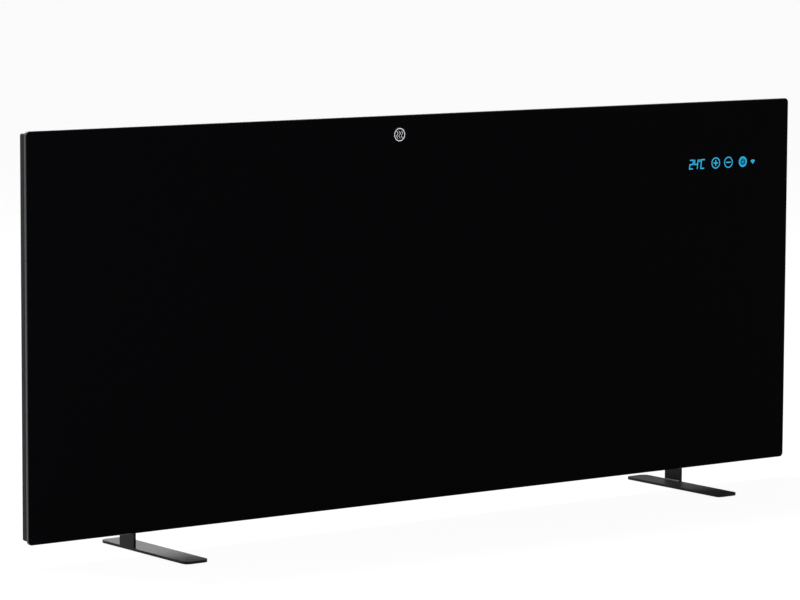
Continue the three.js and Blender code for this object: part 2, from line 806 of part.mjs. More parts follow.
// A domed compression nut that screws over the neck of the gland.
function addGlandNut(top) {
  const outer = glandNutRadius;
  const seat = glandNutHeight / 2 + fitClearance;
  const bottom = top - glandNutHeight;
  const profile = [
    [glandBore, 0],
    [outer * 0.72, 0],
    [outer * 0.94, 2.5],
    [outer, 5],
    [outer, glandNutHeight],
    [glandNeckRadius + fitClearance, glandNutHeight],
    [glandNeckRadius + fitClearance, seat - 2 * fitClearance],
    [glandBore, seat - 2 * fitClearance],
    [glandBore, 0],
  ];
  piece("gland_nut", turnedZ(profile, glandX, glandY, bottom - fitClearance), blackPlastic);
}

function sensorX() {
  return boxRight - sensorFromRight;
}

// A resin capsule with a collar, hanging out of the lower wall into the room air.
function addRoomSensor() {
  const collar = 1.5;
  const profile = [
    [0, 0],
    [sensorRadius * 0.7, 0],
    [sensorRadius, sensorRadius / 2],
    [sensorRadius, sensorLength / 2 - collar],
    [sensorRadius + 1.5, sensorLength / 2 - collar],
    [sensorRadius + 1.5, sensorLength / 2],
    [sensorRadius, sensorLength / 2],
    [sensorRadius, sensorLength],
    [0, sensorLength],
  ];
  piece("room_sensor", turnedZ(profile, sensorX(), glandY, boxBottom - sensorLength / 2, 18), whitePlastic);
}

function addEarthStud() {
  const [x, z] = [boxRight - boxWall - earthInset, boxBottom + boxWall + earthInset];
  const nut = new THREE.CylinderGeometry(earthNutRadius, earthNutRadius, earthNutHeight, 6).translate(
    x,
    trayRearY + earthNutHeight / 2,
    z,
  );
  const stud = rodY(earthStudRadius, trayRearY, trayRearY + earthStudLength, x, z, 14);
  piece("earth_stud", join(nut, stud), brass);
}

// ---------------------------------------------------------------- rocker switch

// The housing fills the cutout; its pocket holds the key, whose pivots turn in two holes.
function addSwitch() {
  const half = { body: switchBodyHeight / 2, pocket: keyRadius + fitClearance };
  const wide = { body: switchBodyWidth / 2, pocket: switchBodyWidth / 2 - switchWall };
  const innerX = boxRight - switchBodyDepth;
  const bezel = block(
    [boxRight, switchY - wide.body - bezelMargin, switchZ - half.body - bezelMargin],
    [bezelFrontX, switchY + wide.body + bezelMargin, switchZ + half.body + bezelMargin],
  );
  const barrel = block(
    [innerX, switchY - wide.body, switchZ - half.body],
    [boxRight + bezelThickness / 2, switchY + wide.body, switchZ + half.body],
  );
  const spades = [-1, 1].map((side) => {
    const z = switchZ + side * 5;
    return block(
      [innerX - spadeSize[0], switchY - spadeSize[2] / 2, z - spadeSize[1] / 2],
      [innerX + 1, switchY + spadeSize[2] / 2, z + spadeSize[1] / 2],
    );
  });
  const pocket = block(
    [bezelFrontX - pocketDepth, switchY - wide.pocket, switchZ - half.pocket],
    [bezelFrontX + 1, switchY + wide.pocket, switchZ + half.pocket],
  );
  const reach = wide.body + 1;
  const pivotHole = rodY(pivotRadius + pivotClearance, switchY - reach, switchY + reach, pivotX, switchZ);
  piece("rocker_housing", cut(join(bezel, barrel, ...spades), pocket, pivotHole), blackPlastic);
  addKey(wide.pocket - keySide);
}

// The key's ends are arcs round its pivot, and its two faces meet in a shallow valley.
// It is stored with its upper end pressed in.
function addKey(halfWidth) {
  const steps = 6;
  const [low, high] = [THREE.MathUtils.degToRad(-12), THREE.MathUtils.degToRad(30)];
  const end = [];
  for (let n = 0; n <= steps; n += 1) {
    const angle = low + ((high - low) * n) / steps;
    end.push([keyRadius * Math.cos(angle), keyRadius * Math.sin(angle)]);
  }
  const upper = end.map(([along, out]) => [out, along]);
  const lower = end.map(([along, out]) => [out, -along]).reverse();
  const profile = outline([...upper, [keyCrown, 0], ...lower, [-3, -5], [-3, 5]]);
  const blank = upright(profile, -halfWidth, halfWidth);
  const pivots = rodY(pivotRadius, -halfWidth - pivotLength, halfWidth + pivotLength, 0, 0, 16);
  const swing = new THREE.Group();
  swing.position.set(pivotX, switchY, switchZ);
  swing.rotation.y = -keyTilt;
  heater.add(swing);
  piece("rocker_key", join(blank, pivots), blackPlastic, swing);
}

// ---------------------------------------------------------------- feet

// The right foot: a flat bar, an upright tab welded along its outer edge, and a flange bent from the tab.
function footSolid() {
  const baseTop = footBaseZ + footSheet;
  const inner = footOuterX - footSheet;
  const base = standing(roundRect(footWidth, footLength, footCornerRadius, footX, 0), footBaseZ, baseTop, 6);
  const tab = block([inner, footTabFront, baseTop - footSheet / 2], [footOuterX, footTabRear, footFlangeTop]);
  const weld = new THREE.Shape();
  weld.moveTo(inner + 0.5, baseTop - 0.5);
  weld.lineTo(inner - footWeld - 0.5, baseTop - 0.5);
  weld.lineTo(inner - footWeld, baseTop);
  weld.lineTo(inner, baseTop + footWeld);
  weld.lineTo(inner + 0.5, baseTop + footWeld);
  const body = solid(base)
    .add(solid(tab))
    .add(solid(upright(weld, footTabFront + footWeld, footTabRear - footWeld)))
    .add(solid(footFlangeBend()))
    .add(solid(footFlange()));
  const holeRadius = footScrew.shank + screwClearance;
  const tools = footScrewSpots()
    .filter(([x]) => x > 0)
    .map(([x, z]) => rodY(holeRadius, trayRearY - 1, trayRearY + footSheet + 1, x, z, 14));
  return cut(body, ...tools);
}

function footFlangeBend() {
  const bendX = footOuterX - footBendOutside;
  const bendY = trayRearY + footBendOutside;
  const corner = new THREE.Shape();
  corner.moveTo(bendX, trayRearY);
  corner.absarc(bendX, bendY, footBendOutside, -Math.PI / 2, 0);
  corner.lineTo(footOuterX, bendY + 2);
  corner.lineTo(footOuterX - footSheet, bendY + 2);
  corner.absarc(bendX, bendY, footBendInside, 0, -Math.PI / 2, true);
  return standing(corner, footFlangeBottom, footFlangeTop, 6);
}

function footFlange() {
  const [left, right] = [footOuterX - footFlangeWidth, footOuterX - footBendOutside + 0.01];
  const [low, high, r] = [footFlangeBottom, footFlangeTop, footFlangeCorner];
  const plate = new THREE.Shape();
  plate.moveTo(right, low);
  plate.lineTo(right, high);
  plate.lineTo(left + r, high);
  plate.absarc(left + r, high - r, r, Math.PI / 2, Math.PI);
  plate.absarc(left + r, low + r, r, Math.PI, 1.5 * Math.PI);
  return upright(plate, trayRearY, trayRearY + footSheet, { curve: 6 });
}

function addFeet() {
  const foot = geometryOf(footSolid());
  for (const [name, side] of [
    ["left", -1],
    ["right", 1],
  ]) {
    const hand = new THREE.Group();
    hand.scale.x = side;
    heater.add(hand);
    piece("foot_" + name, foot, footCoat, hand);
    const padY = footLength / 2 - padFromEnd - padSize / 2;
    for (const [end, y] of [
      ["front", -padY],
      ["rear", padY],
    ]) {
      const pad = roundRect(padSize, padSize, 3, side * footX, y);
      piece("foot_pad_" + name + "_" + end, standing(pad, 0, padThickness, 3), rubber);
    }
    const x = side * footScrewX;
    const plate = roundRect(backingWidth, backingHeight, 2, x, footScrewMidZ);
    const holes = footScrewSpots().filter(([holeX]) => holeX * side > 0);
    const rear = trayInnerY;
    const tools = holes.map(([holeX, z]) =>
      rodY(footScrew.shank + screwClearance / 2, rear - backingThickness - 1, rear + 1, holeX, z, 14),
    );
    piece(
      "foot_backing_" + name,
      cut(solid(upright(plate, rear - backingThickness, rear, { curve: 2 })), ...tools),
      zincSteel,
    );
  }
}

// ---------------------------------------------------------------- screws

// A pan-head screw along Y: its head stands behind headY and its shank reaches forward of it.
function panScrew({ shank, head, height, reach }, x, headY, z) {
  const profile = [
    [0, -reach],
    [shank, -reach],
    [shank, 0],
    [head, 0],
    [head, height * 0.5],
    [head * 0.75, height],
    [0, height],
  ];
  return turnedY(profile, x, headY, z, 12);
}

function addScrews() {
  const headPlace = (n) => ["lower_left", "upper_left", "lower_right", "upper_right"][n];
  footScrewSpots().forEach(([x, z], n) => {
    const headY = trayRearY + footSheet;
    const depth = footScrew.height / 2;
    const socket = rodY(footScrew.socket, headY + depth, headY + 4 * depth, x, z, 6);
    piece("foot_screw_" + headPlace(n), cut(solid(panScrew(footScrew, x, headY, z)), socket), blackScrew);
  });
  trayScrewSpots().forEach(([x, z], n) => {
    piece("tray_screw_" + (n + 1), panScrew(traySheetScrew, x, trayRearY, z), blackScrew);
  });
  boxScrewSpots().forEach(([x, z], n) => {
    piece("box_screw_" + (n + 1), panScrew(traySheetScrew, x, trayRearY + boxFlangeThickness, z), blackScrew);
  });
}

// ---------------------------------------------------------------- leads

// A round lead along hand-chosen points: up from its busbar, through the passage and to its terminal.
function lead(points) {
  const stops = points.map((point) => new THREE.Vector3(...point));
  const route = new THREE.CatmullRomCurve3(stops, false, "centripetal");
  const section = new THREE.Shape().absarc(0, 0, leadRadius, 0, 2 * Math.PI);
  return new THREE.ExtrudeGeometry(section, {
    steps: 3 * (points.length - 1),
    bevelEnabled: false,
    curveSegments: 4,
    extrudePath: route,
  });
}

function addLeads() {
  const start = glassRearY + filmThickness + busbarThickness + fitClearance;
  const gallery = trayInnerY - 2 - leadRadius; // leads cross the bay just in front of the tray's back
  const runZ = boxBottom + boxWall + glandBarrelInside + leadRadius + 2.5; // between gland and terminals
  const upperRunZ = runZ + 3 * leadRadius;
  const terminalZ = terminalEntryZ - fitClearance;
  const terminalY = terminalEntryY;
  const upperX = filmNotchX - busbarMargin - busbarWidth / 2;
  const upperZ = filmTop - busbarMargin - busbarWidth / 2;
  const lowerX = filmRight - busbarMargin - busbarWidth / 2;
  const lowerZ = filmNotchZ - busbarMargin - busbarWidth / 2;
  const upper = [
    [upperX, start, upperZ],
    [upperX, start + 3, upperZ],
    [upperX + 3, gallery, upperZ - 6],
    [upperX + 4, gallery, upperZ - 40],
    [upperX + 30, gallery, passZ + 4],
    [passX - 14, gallery, passZ],
    [passX - 11, trayRearY, passZ],
    [passX - 16, terminalY, runZ],
    [terminalX(1) + 8, terminalY, runZ],
    [terminalX(1), terminalY, terminalZ - 4],
    [terminalX(1), terminalY, terminalZ],
  ];
  const lower = [
    [lowerX, start, lowerZ],
    [lowerX, start + 3, lowerZ],
    [lowerX - 5, gallery, lowerZ - 2],
    [passX + 14, gallery, passZ + 1],
    [passX + 10, trayRearY, passZ + 2],
    [passX + 4, terminalY + 4, upperRunZ],
    [passX - 20, terminalY + 4, upperRunZ],
    [terminalX(2) + 8, terminalY + 2, upperRunZ],
    [terminalX(2) + 1, terminalY, terminalZ - 4],
    [terminalX(2), terminalY, terminalZ],
  ];
  piece("lead_upper", lead(upper), redLead);
  piece("lead_lower", lead(lower), greyLead);
}

// ---------------------------------------------------------------- assembly

addGlass();
addAdhesive();
addFrame();
addTray();
addFilm();
addBusbars();
addInsulation();
addLimiters();
addDisplay();
addBoxCover();
addPowerBoard();
addBoardParts();
addGland();
addRoomSensor();
addEarthStud();
addSwitch();
addFeet();
addScrews();
addLeads();

export default heater;
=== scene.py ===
# %% [markdown]
# # An infrared panel heater
# The heater is a wide sheet of black glass bonded to a shallow steel body. It stands on two flat steel feet,
# and a control box sits on its back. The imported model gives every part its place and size, in metres:
# +X runs along the glass, +Y to the back and +Z up. This script gives those parts their finish, and replaces
# the ones whose edges and curves deserve a finer mesh.

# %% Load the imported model
import json
import math

import bmesh
import bpy
import numpy as np
from mathutils import Matrix, Vector


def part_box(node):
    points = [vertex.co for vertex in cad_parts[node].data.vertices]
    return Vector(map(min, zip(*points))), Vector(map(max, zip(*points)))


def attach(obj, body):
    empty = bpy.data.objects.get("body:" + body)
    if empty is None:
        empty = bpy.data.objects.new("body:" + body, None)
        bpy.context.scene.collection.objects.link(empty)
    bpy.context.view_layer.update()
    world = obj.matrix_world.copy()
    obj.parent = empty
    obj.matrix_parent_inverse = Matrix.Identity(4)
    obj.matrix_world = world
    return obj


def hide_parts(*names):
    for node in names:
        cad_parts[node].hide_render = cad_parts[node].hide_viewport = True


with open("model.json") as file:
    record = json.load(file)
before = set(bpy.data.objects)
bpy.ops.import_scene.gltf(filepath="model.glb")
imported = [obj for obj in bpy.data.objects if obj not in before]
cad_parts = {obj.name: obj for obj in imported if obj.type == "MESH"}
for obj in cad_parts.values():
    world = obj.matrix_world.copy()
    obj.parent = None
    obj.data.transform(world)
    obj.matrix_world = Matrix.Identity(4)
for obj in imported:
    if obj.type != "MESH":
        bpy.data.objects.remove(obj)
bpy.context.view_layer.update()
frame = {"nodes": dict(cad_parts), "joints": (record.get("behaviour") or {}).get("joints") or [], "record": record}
nodes = frame["nodes"]
MM = 0.001

# %% [markdown]
# ## Camera
# The picture was taken from the left of the heater with a long lens, a little above its top. Its place and
# angles were solved from the edges of the glass. Turning them into a matrix by hand, one axis at a time, keeps
# the small roll that a "look at" helper would drop.

# %% Camera
LENS_MM = 172.0
SENSOR_MM = 36.0
CLIP_END = 200
CAMERA_PLACE = Vector((-2.682, -3.515, 0.758))
YAW, PITCH, ROLL = math.radians(36.857), math.radians(6.459), math.radians(0.245)

forward = Vector((math.sin(YAW) * math.cos(PITCH), math.cos(YAW) * math.cos(PITCH), -math.sin(PITCH)))
level_right = Vector((math.cos(YAW), -math.sin(YAW), 0))
level_up = level_right.cross(forward)
right = math.cos(ROLL) * level_right + math.sin(ROLL) * level_up
up = math.cos(ROLL) * level_up - math.sin(ROLL) * level_right

camera_data = bpy.data.cameras.new("camera")
camera_data.lens = LENS_MM
camera_data.sensor_width = SENSOR_MM
camera_data.clip_end = CLIP_END
camera = bpy.data.objects.new("camera", camera_data)
camera.matrix_world = Matrix.Translation(CAMERA_PLACE) @ Matrix((right, up, -forward)).transposed().to_4x4()
bpy.context.scene.collection.objects.link(camera)
bpy.context.scene.camera = camera
bpy.context.scene.view_settings.view_transform = "Standard"
print("camera", round(CAMERA_PLACE.length, 2), "m from the origin")

# %% [markdown]
# ## Nodes and colours
# Every finish below is a small tree of shader nodes. One function adds a node, sets its values and makes its
# links, so each material reads from top to bottom. Colours are written as the eye sees them, in sRGB, and turned
# to the linear values that the shader wants.

# %% Node helpers
def linear(hex_colour):
    """Each channel goes through the sRGB curve: a straight piece near black, then a power of 2.4."""
    value = int(hex_colour.lstrip("#"), 16)
    srgb = np.array([(value >> shift) & 255 for shift in (16, 8, 0)]) / 255
    channels = np.where(srgb <= 0.04045, srgb / 12.92, ((srgb + 0.055) / 1.055) ** 2.4)
    return (*channels.tolist(), 1.0)


def add(tree, kind, inputs=(), **settings):
    """Adds a node. settings are its own fields, and inputs maps a socket to a value or to another socket."""
    made = tree.nodes.new("ShaderNode" + kind)
    for field, value in settings.items():
        setattr(made, field, value)
    for socket, value in dict(inputs).items():
        if isinstance(value, bpy.types.NodeSocket):
            tree.links.new(value, made.inputs[socket])
        else:
            made.inputs[socket].default_value = value
    return made


def new_material(name):
    """A material with an empty shader tree, and that tree."""
    made = bpy.data.materials.new(name)
    made.use_nodes = True
    made.node_tree.nodes.clear()
    return made, made.node_tree


print("black as a linear value:", linear("#1D1E20"))

# %% [markdown]
# ## Coated, moulded and plated finishes
# Most of the heater's surfaces differ in the same few ways: their colour, how rough they are, how that roughness
# wanders, and how deep and how wide the relief left by coating or moulding is. So one function makes them all
# from those real figures. The relief is noise on Object coordinates, whose scale is one over its size in metres.

# %% Finish maker
def finish(name, colour, roughness, grain_mm, relief_mm, shade=0.1, metallic=0.0, drift_mm=60.0,
           stretch=(1, 1, 1), sheen=0.5):
    """Noise of grain_mm lifts the surface by relief_mm; slow noise of drift_mm shifts its colour.
    sheen is the specular level: 0.5 for most plastics, and less where the surface is porous or micro-rough."""
    made, tree = new_material(name)
    place = add(tree, "TexCoord").outputs["Object"]
    stretched = add(tree, "Mapping", {"Vector": place, "Scale": stretch}).outputs[0]
    grain = add(tree, "TexNoise", {"Vector": stretched, "Scale": 1 / (grain_mm * MM), "Detail": 3.0})
    drift = add(tree, "TexNoise", {"Vector": place, "Scale": 1 / (drift_mm * MM), "Detail": 2.0})
    base = np.array(linear(colour))
    dark, light = base * (1 - shade), base * (1 + shade)
    shades = {0: drift.outputs[0], 6: (*dark[:3], 1), 7: (*light[:3], 1)}
    tint = add(tree, "Mix", shades, data_type="RGBA")
    spread = {"Value": grain.outputs[0], "To Min": roughness * 0.85, "To Max": min(1.0, roughness * 1.15)}
    rough = add(tree, "MapRange", spread).outputs[0]
    bump = add(tree, "Bump", {"Height": grain.outputs[0], "Distance": relief_mm * MM, "Strength": 1.0})
    shader = add(tree, "BsdfPrincipled", {
        "Base Color": tint.outputs[2],
        "Roughness": rough,
        "Metallic": metallic,
        "Specular IOR Level": sheen,
        "Normal": bump.outputs[0],
    })
    add(tree, "OutputMaterial", {"Surface": shader.outputs[0]})
    return made


# Fine-texture powder coat on folded steel: a dry, even dark grey with a sandy relief.
powder_coat = finish("Fine-texture powder coat on steel", "#1B1C1E", 0.5, 0.9, 0.05, sheen=0.04)
# Smooth satin powder coat on the thicker steel of the feet: a softer sheen with a slight orange peel.
foot_coat = finish("Satin powder coat on bent steel", "#0A0B0D", 0.4, 2.4, 0.012, shade=0.06, sheen=0.09)
# Painted shade: the upright faces low on the feet's bars are near black with almost no sheen, so they show as a dark
# line along the bars' sides.
painted_shade_edge = finish("Painted shade on the lower side faces of the feet", "#080808", 0.6, 0.5, 0.01, shade=0.1, sheen=0.02)
# Injection-moulded polyamide: near black, with the fine spark texture of its mould.
polyamide = finish("Moulded black polyamide", "#1B1C1F", 0.48, 0.7, 0.02)
white_plastic = finish("Moulded white ABS", "#DEDFDC", 0.42, 0.8, 0.01, shade=0.03)
# Silicone and rubber are soft and dull, and hold a little dust.
silicone = finish("Black silicone adhesive", "#101011", 0.6, 3.0, 0.05)
rubber = finish("Black rubber pad", "#161616", 0.8, 0.8, 0.04)
foam = finish("Conductive foam", "#33363A", 0.9, 0.6, 0.12)
# Metals: black zinc on the screws, bright zinc, mill-finish aluminium drawn along X, rolled foil and copper.
black_zinc = finish("Black zinc-plated steel", "#3A3B3E", 0.38, 0.6, 0.008, metallic=1.0)
zinc = finish("Bright zinc-plated steel", "#A6A8AA", 0.36, 1.2, 0.006, metallic=1.0)
aluminium = finish("Mill-finish aluminium", "#B4B6B8", 0.4, 0.8, 0.01, metallic=1.0, stretch=(0.04, 1, 1))
foil = finish("Rolled aluminium foil", "#C9CBCD", 0.26, 6.0, 0.15, metallic=1.0)
copper = finish("Rolled copper foil", "#C47A4E", 0.34, 2.0, 0.02, metallic=1.0, stretch=(0.1, 1, 1))
brass = finish("Turned brass", "#BFA35A", 0.32, 0.5, 0.01, metallic=1.0)
# What lies inside: pressed mineral fibre, a printed carbon film, boards, wires and small parts.
fibre = finish("Pressed mineral fibre board", "#D3CCBC", 0.95, 2.2, 0.35, shade=0.14, stretch=(0.3, 1, 1))
carbon = finish("Printed carbon film", "#1D1E20", 0.55, 1.0, 0.01)
relay_case = finish("Moulded blue relay case", "#2A5FA5", 0.4, 1.0, 0.01)
ceramic = finish("Unglazed electrical ceramic", "#E4E0D4", 0.6, 0.7, 0.03)
red_lead = finish("Red silicone lead", "#A32F27", 0.5, 1.5, 0.02)
grey_lead = finish("Grey silicone lead", "#606468", 0.5, 1.5, 0.02)
acrylic = finish("Clear acrylic light pipe", "#CFE5EC", 0.12, 4.0, 0.005, shade=0.02)
print("finishes:", len(bpy.data.materials))

# %% [markdown]
# ## Circuit board
# A bare board is woven glass fibre under a green solder mask, with copper tracks that show as slightly lighter
# lanes. A brick pattern, turned on its side, gives lanes with breaks in them, which read as tracks.

# %% Circuit board finish
TRACK_MM = 2.4
solder_mask, tree = new_material("Green solder mask on glass-fibre board")
place = add(tree, "TexCoord").outputs["Object"]
turned = add(tree, "Mapping", {"Vector": place, "Rotation": (math.pi / 2, 0, 0)}).outputs[0]
lanes = add(tree, "TexBrick", {
    "Vector": turned,
    "Color1": linear("#1C5B3D"),
    "Color2": linear("#206645"),
    "Mortar": linear("#174A33"),
    "Scale": 1 / (TRACK_MM * MM),
    "Mortar Size": 0.09,
    "Brick Width": 5.0,
    "Row Height": 1.0,
})
height = add(tree, "Bump", {"Height": lanes.outputs["Fac"], "Distance": 0.03 * MM}, invert=True)
shader = add(tree, "BsdfPrincipled", {
    "Base Color": lanes.outputs["Color"],
    "Roughness": 0.38,
    "Normal": height.outputs[0],
})
add(tree, "OutputMaterial", {"Surface": shader.outputs[0]})
print("tracks are", TRACK_MM, "mm apart")

# %% [markdown]
# ## Glass
# The front is clear toughened glass, printed black on its back. Looking in, the eye meets the print, so the pane
# is near black, and only a thin gloss lies over it. An anti-glare front gives back very little of the room, so
# its specular level is low. The ground edge is bare glass: grey and satin.

# %% Glass finishes
glass_black, tree = new_material("Toughened glass, printed black on its back")
place = add(tree, "TexCoord").outputs["Object"]
haze = add(tree, "TexNoise", {"Vector": place, "Scale": 1 / (90 * MM), "Detail": 2.0})
gloss = add(tree, "MapRange", {"Value": haze.outputs[0], "To Min": 0.03, "To Max": 0.07})
shader = add(tree, "BsdfPrincipled", {
    "Base Color": linear("#030304"),
    "Roughness": gloss.outputs[0],
    "IOR": 1.52,
    "Specular IOR Level": 0.007,
})
add(tree, "OutputMaterial", {"Surface": shader.outputs[0]})
glass_bevel = finish("Polished glass bevel", "#17181A", 0.15, 0.5, 0.002, shade=0.05, sheen=0.3)
glass_edge = finish("Ground glass edge", "#2E3032", 0.4, 0.5, 0.01, shade=0.08, stretch=(0.05, 1, 0.05),
                    sheen=0.2)
print("glass finishes:", [made.name for made in (glass_black, glass_bevel, glass_edge)])

# %% [markdown]
# ## Lit and printed marks
# The digits and icons are windows in the black print with lamps behind them, so they glow evenly and shade
# nothing. An emission shader gives exactly the colour written. The mark at the top middle is plain pale ink.

# %% Mark finishes
def glow(name, inner, outer, size_mm):
    """A lamp behind the print is a little brighter in places, so slow noise mixes two shades."""
    made, tree = new_material(name)
    place = add(tree, "TexCoord").outputs["Object"]
    cloud = add(tree, "TexNoise", {"Vector": place, "Scale": 1 / (size_mm * MM)})
    tint = add(tree, "Mix", data_type="RGBA", inputs={0: cloud.outputs[0], 6: linear(inner), 7: linear(outer)})
    shader = add(tree, "BsdfPrincipled", {
        "Base Color": linear("#050607"),
        "Roughness": 0.2,
        "Specular IOR Level": 0.007,
        "Emission Color": tint.outputs[2],
        "Emission Strength": 1.0,
    })
    add(tree, "OutputMaterial", {"Surface": shader.outputs[0]})
    return made


lit_blue = glow("Cyan lamp light behind the print", "#1FAADC", "#48BEE6", 4.0)
lit_field = glow("Dimmer cyan light under the standby key", "#0C88B2", "#1C98C2", 5.0)
pale_ink = finish("Pale grey ceramic ink", "#BDBFC4", 0.5, 0.8, 0.004, shade=0.05)
black_ink = finish("Black ceramic ink", "#040506", 0.4, 0.8, 0.004, shade=0.05, sheen=0.01)
print("mark finishes:", [made.name for made in (lit_blue, lit_field, pale_ink, black_ink)])

# %% [markdown]
# ## Surfaces from arrays
# New pieces are rings of points, one array of shape (rings, points, 3), joined by four-sided faces. A turned part,
# a sheet edge carried round an outline and a tube all come out of the same function.

# %% Surface helpers
def ring_faces(rings, around, closed=True):
    """Face (i, j) joins point j of ring i to its next point and to ring i + 1."""
    steps = around if closed else around - 1
    i, j = np.meshgrid(np.arange(rings - 1), np.arange(steps), indexing="ij")
    k = (j + 1) % around
    quads = np.stack([i * around + j, i * around + k, (i + 1) * around + k, (i + 1) * around + j], axis=-1)
    return quads.reshape(-1, 4).tolist()


def ring_mesh(rings, cap_first=True, cap_last=True):
    """Points and faces of rings closed round themselves, with flat caps at either end."""
    count, around = rings.shape[:2]
    faces = ring_faces(count, around)
    if cap_first:
        faces.append(list(range(around))[::-1])
    if cap_last:
        faces.append(list(range((count - 1) * around, count * around)))
    return rings.reshape(-1, 3), faces


def joined(parts):
    """Puts several point and face lists into one, moving each list's face numbers on."""
    points, faces, start = [], [], 0
    for some_points, some_faces in parts:
        points.append(np.asarray(some_points))
        faces += [[index + start for index in face] for face in some_faces]
        start += len(some_points)
    return np.concatenate(points), faces


def make_piece(name, shape, material, replaces=(), body="heater", sharp_deg=32):
    """Makes an object at the origin from (points, faces), and says what it rides on and replaces."""
    points, faces = shape
    mesh = bpy.data.meshes.new(name)
    mesh.from_pydata(np.asarray(points).tolist(), [], faces)
    work = bmesh.new()
    work.from_mesh(mesh)
    bmesh.ops.remove_doubles(work, verts=work.verts, dist=1e-7)
    bmesh.ops.recalc_face_normals(work, faces=work.faces)
    work.to_mesh(mesh)
    work.free()
    return dress(bpy.data.objects.new(name, mesh), material, replaces, body, sharp_deg)


def dress(piece, material, replaces, body, sharp_deg):
    """Smooths a piece up to an angle, gives it its finish, and says what it rides on and replaces."""
    mesh = piece.data
    mesh.shade_smooth()
    mesh.set_sharp_from_angle(angle=math.radians(sharp_deg))
    mesh.materials.clear()
    mesh.materials.append(material)
    bpy.context.scene.collection.objects.link(piece)
    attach(piece, body)
    if replaces:
        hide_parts(*replaces)
    return piece


def centre(node):
    """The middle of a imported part's box."""
    low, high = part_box(node)
    return (low + high) / 2


print("two rings of four points give", len(ring_faces(2, 4)), "faces")


# %% [markdown]
# ## Turned parts
# Screws, the cable gland, its nut and the sensor are all turned round an axis. A profile of radius and height
# goes round in steps, and the radius may also change with the angle: that gives a hexagon, a socket or grip ribs.

# %% Turned helper
NEAR_AXIS = 0.02  # profiles stop this short of the axis, in millimetres, and a flat cap closes them


def turned(profile, at, axis="y", sides=32, shape=None):
    """Rings of (radius, height) round an axis through at. shape(angle, radius, height) may change a radius."""
    angles = np.linspace(0, 2 * np.pi, sides, endpoint=False)
    radius = np.array([[p[0]] * sides for p in profile])
    height = np.array([[p[1]] * sides for p in profile])
    if shape:
        radius = shape(angles[None, :], radius, height)
    first, second = radius * np.cos(angles), radius * np.sin(angles)
    columns = (first, height, second) if axis == "y" else (first, second, height)
    points = np.stack(columns, axis=-1) * MM + np.array(at)
    return ring_mesh(points)


def hexagonal(angle):
    """How far a hexagon's side lies from its centre at an angle, for an inner radius of one."""
    return 1 / np.cos((angle + np.pi / 6) % (np.pi / 3) - np.pi / 6)


print("a hexagon reaches out to", round(float(hexagonal(np.pi / 6)), 3), "at its corners")


# %% [markdown]
# ## Outlines with round corners
# The glass, the tray and the pads are all rounded rectangles. Each is kept as corner centres and outward
# directions: moving every point in by some distance is then one subtraction, and the corners stay true arcs.

# %% Rounded rectangle
def round_outline(low, high, radius, steps, across=(), along=()):
    """Points of a rectangle as (centre, direction) pairs: centre + direction * (radius - inset) is the outline.
    Straight sides can be given stations: across lists places on the first axis, along on the second."""
    (x0, y0), (x1, y1) = low, high
    corners = [(x1 - radius, y0 + radius, -90), (x1 - radius, y1 - radius, 0),
               (x0 + radius, y1 - radius, 90), (x0 + radius, y0 + radius, 180)]
    sides = [("y", along, 1), ("x", across, -1), ("y", along, -1), ("x", across, 1)]
    centres, directions = [], []
    for (cx, cy, start), (axis, stations, sign) in zip(corners, sides):
        angles = np.radians(start + np.linspace(0, 90, steps + 1))
        centres += [(cx, cy)] * len(angles)
        directions += list(zip(np.cos(angles), np.sin(angles)))
        end = directions[-1]
        for place in sorted(stations, reverse=sign < 0):
            centres.append((cx, place) if axis == "y" else (place, cy))
            directions.append(end)
    return np.array(centres), np.array(directions)


def carried(outline, radius, profile, plane="xz"):
    """Carries a profile of (inset, height) pairs round an outline. height runs along the axis left over."""
    centres, directions = outline
    rings = []
    for inset, height in profile:
        flat = centres + directions * (radius - inset)
        level = np.full(len(flat), height)
        columns = (flat[:, 0], level, flat[:, 1]) if plane == "xz" else (flat[:, 0], flat[:, 1], level)
        rings.append(np.stack(columns, axis=1))
    return np.array(rings)


print("points in a plain outline:", len(round_outline((0, 0), (1, 1), 0.1, 6)[0]))


# %% [markdown]
# ## Glass pane
# A sheet of toughened glass has its edges ground flat and its sharp corners taken off at 45 degrees. These narrow
# bevels are what catches the light along the rim. The pane is one closed surface with two finishes: the face
# with its polished front bevel, and the ground edge.

# %% Make the glass pane
ARRIS = 0.5 * MM
CORNER = 5 * MM
glass_low, glass_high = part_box("front_glass")
pane_outline = round_outline((glass_low.x, glass_low.z), (glass_high.x, glass_high.z), CORNER, 14)
pane_profile = [
    (ARRIS, glass_low.y),
    (0.12 * ARRIS, glass_low.y + 0.88 * ARRIS),
    (0, glass_low.y + 1.2 * ARRIS),
    (0, glass_high.y - 1.2 * ARRIS),
    (0.12 * ARRIS, glass_high.y - 0.88 * ARRIS),
    (ARRIS, glass_high.y),
]
pane_rings = carried(pane_outline, CORNER, pane_profile)
pane = make_piece("glass_pane", ring_mesh(pane_rings), glass_black, ["front_glass"], sharp_deg=25)
pane.data.materials.append(glass_edge)
pane.data.materials.append(glass_bevel)
for polygon in pane.data.polygons:
    front_bevel = polygon.center.y < glass_low.y + 1.3 * ARRIS
    polygon.material_index = 0 if abs(polygon.normal.y) > 0.99 else 2 if front_bevel else 1
print("glass", round(glass_high.x - glass_low.x, 3), "by", round(glass_high.z - glass_low.z, 3), "m")

# %% [markdown]
# ## Marks on the glass
# Each icon is made of ribbons: two edges, walked together, with a hair of thickness. A ring is a ribbon that
# closes on itself, a bar has two stations, and a wave follows a sine. The icons sit over the touch pads and lamps
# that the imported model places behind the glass.

# %% Ribbon helpers
MARK_THICK = 0.06 * MM
MARK_FRONT = glass_low.y - MARK_THICK


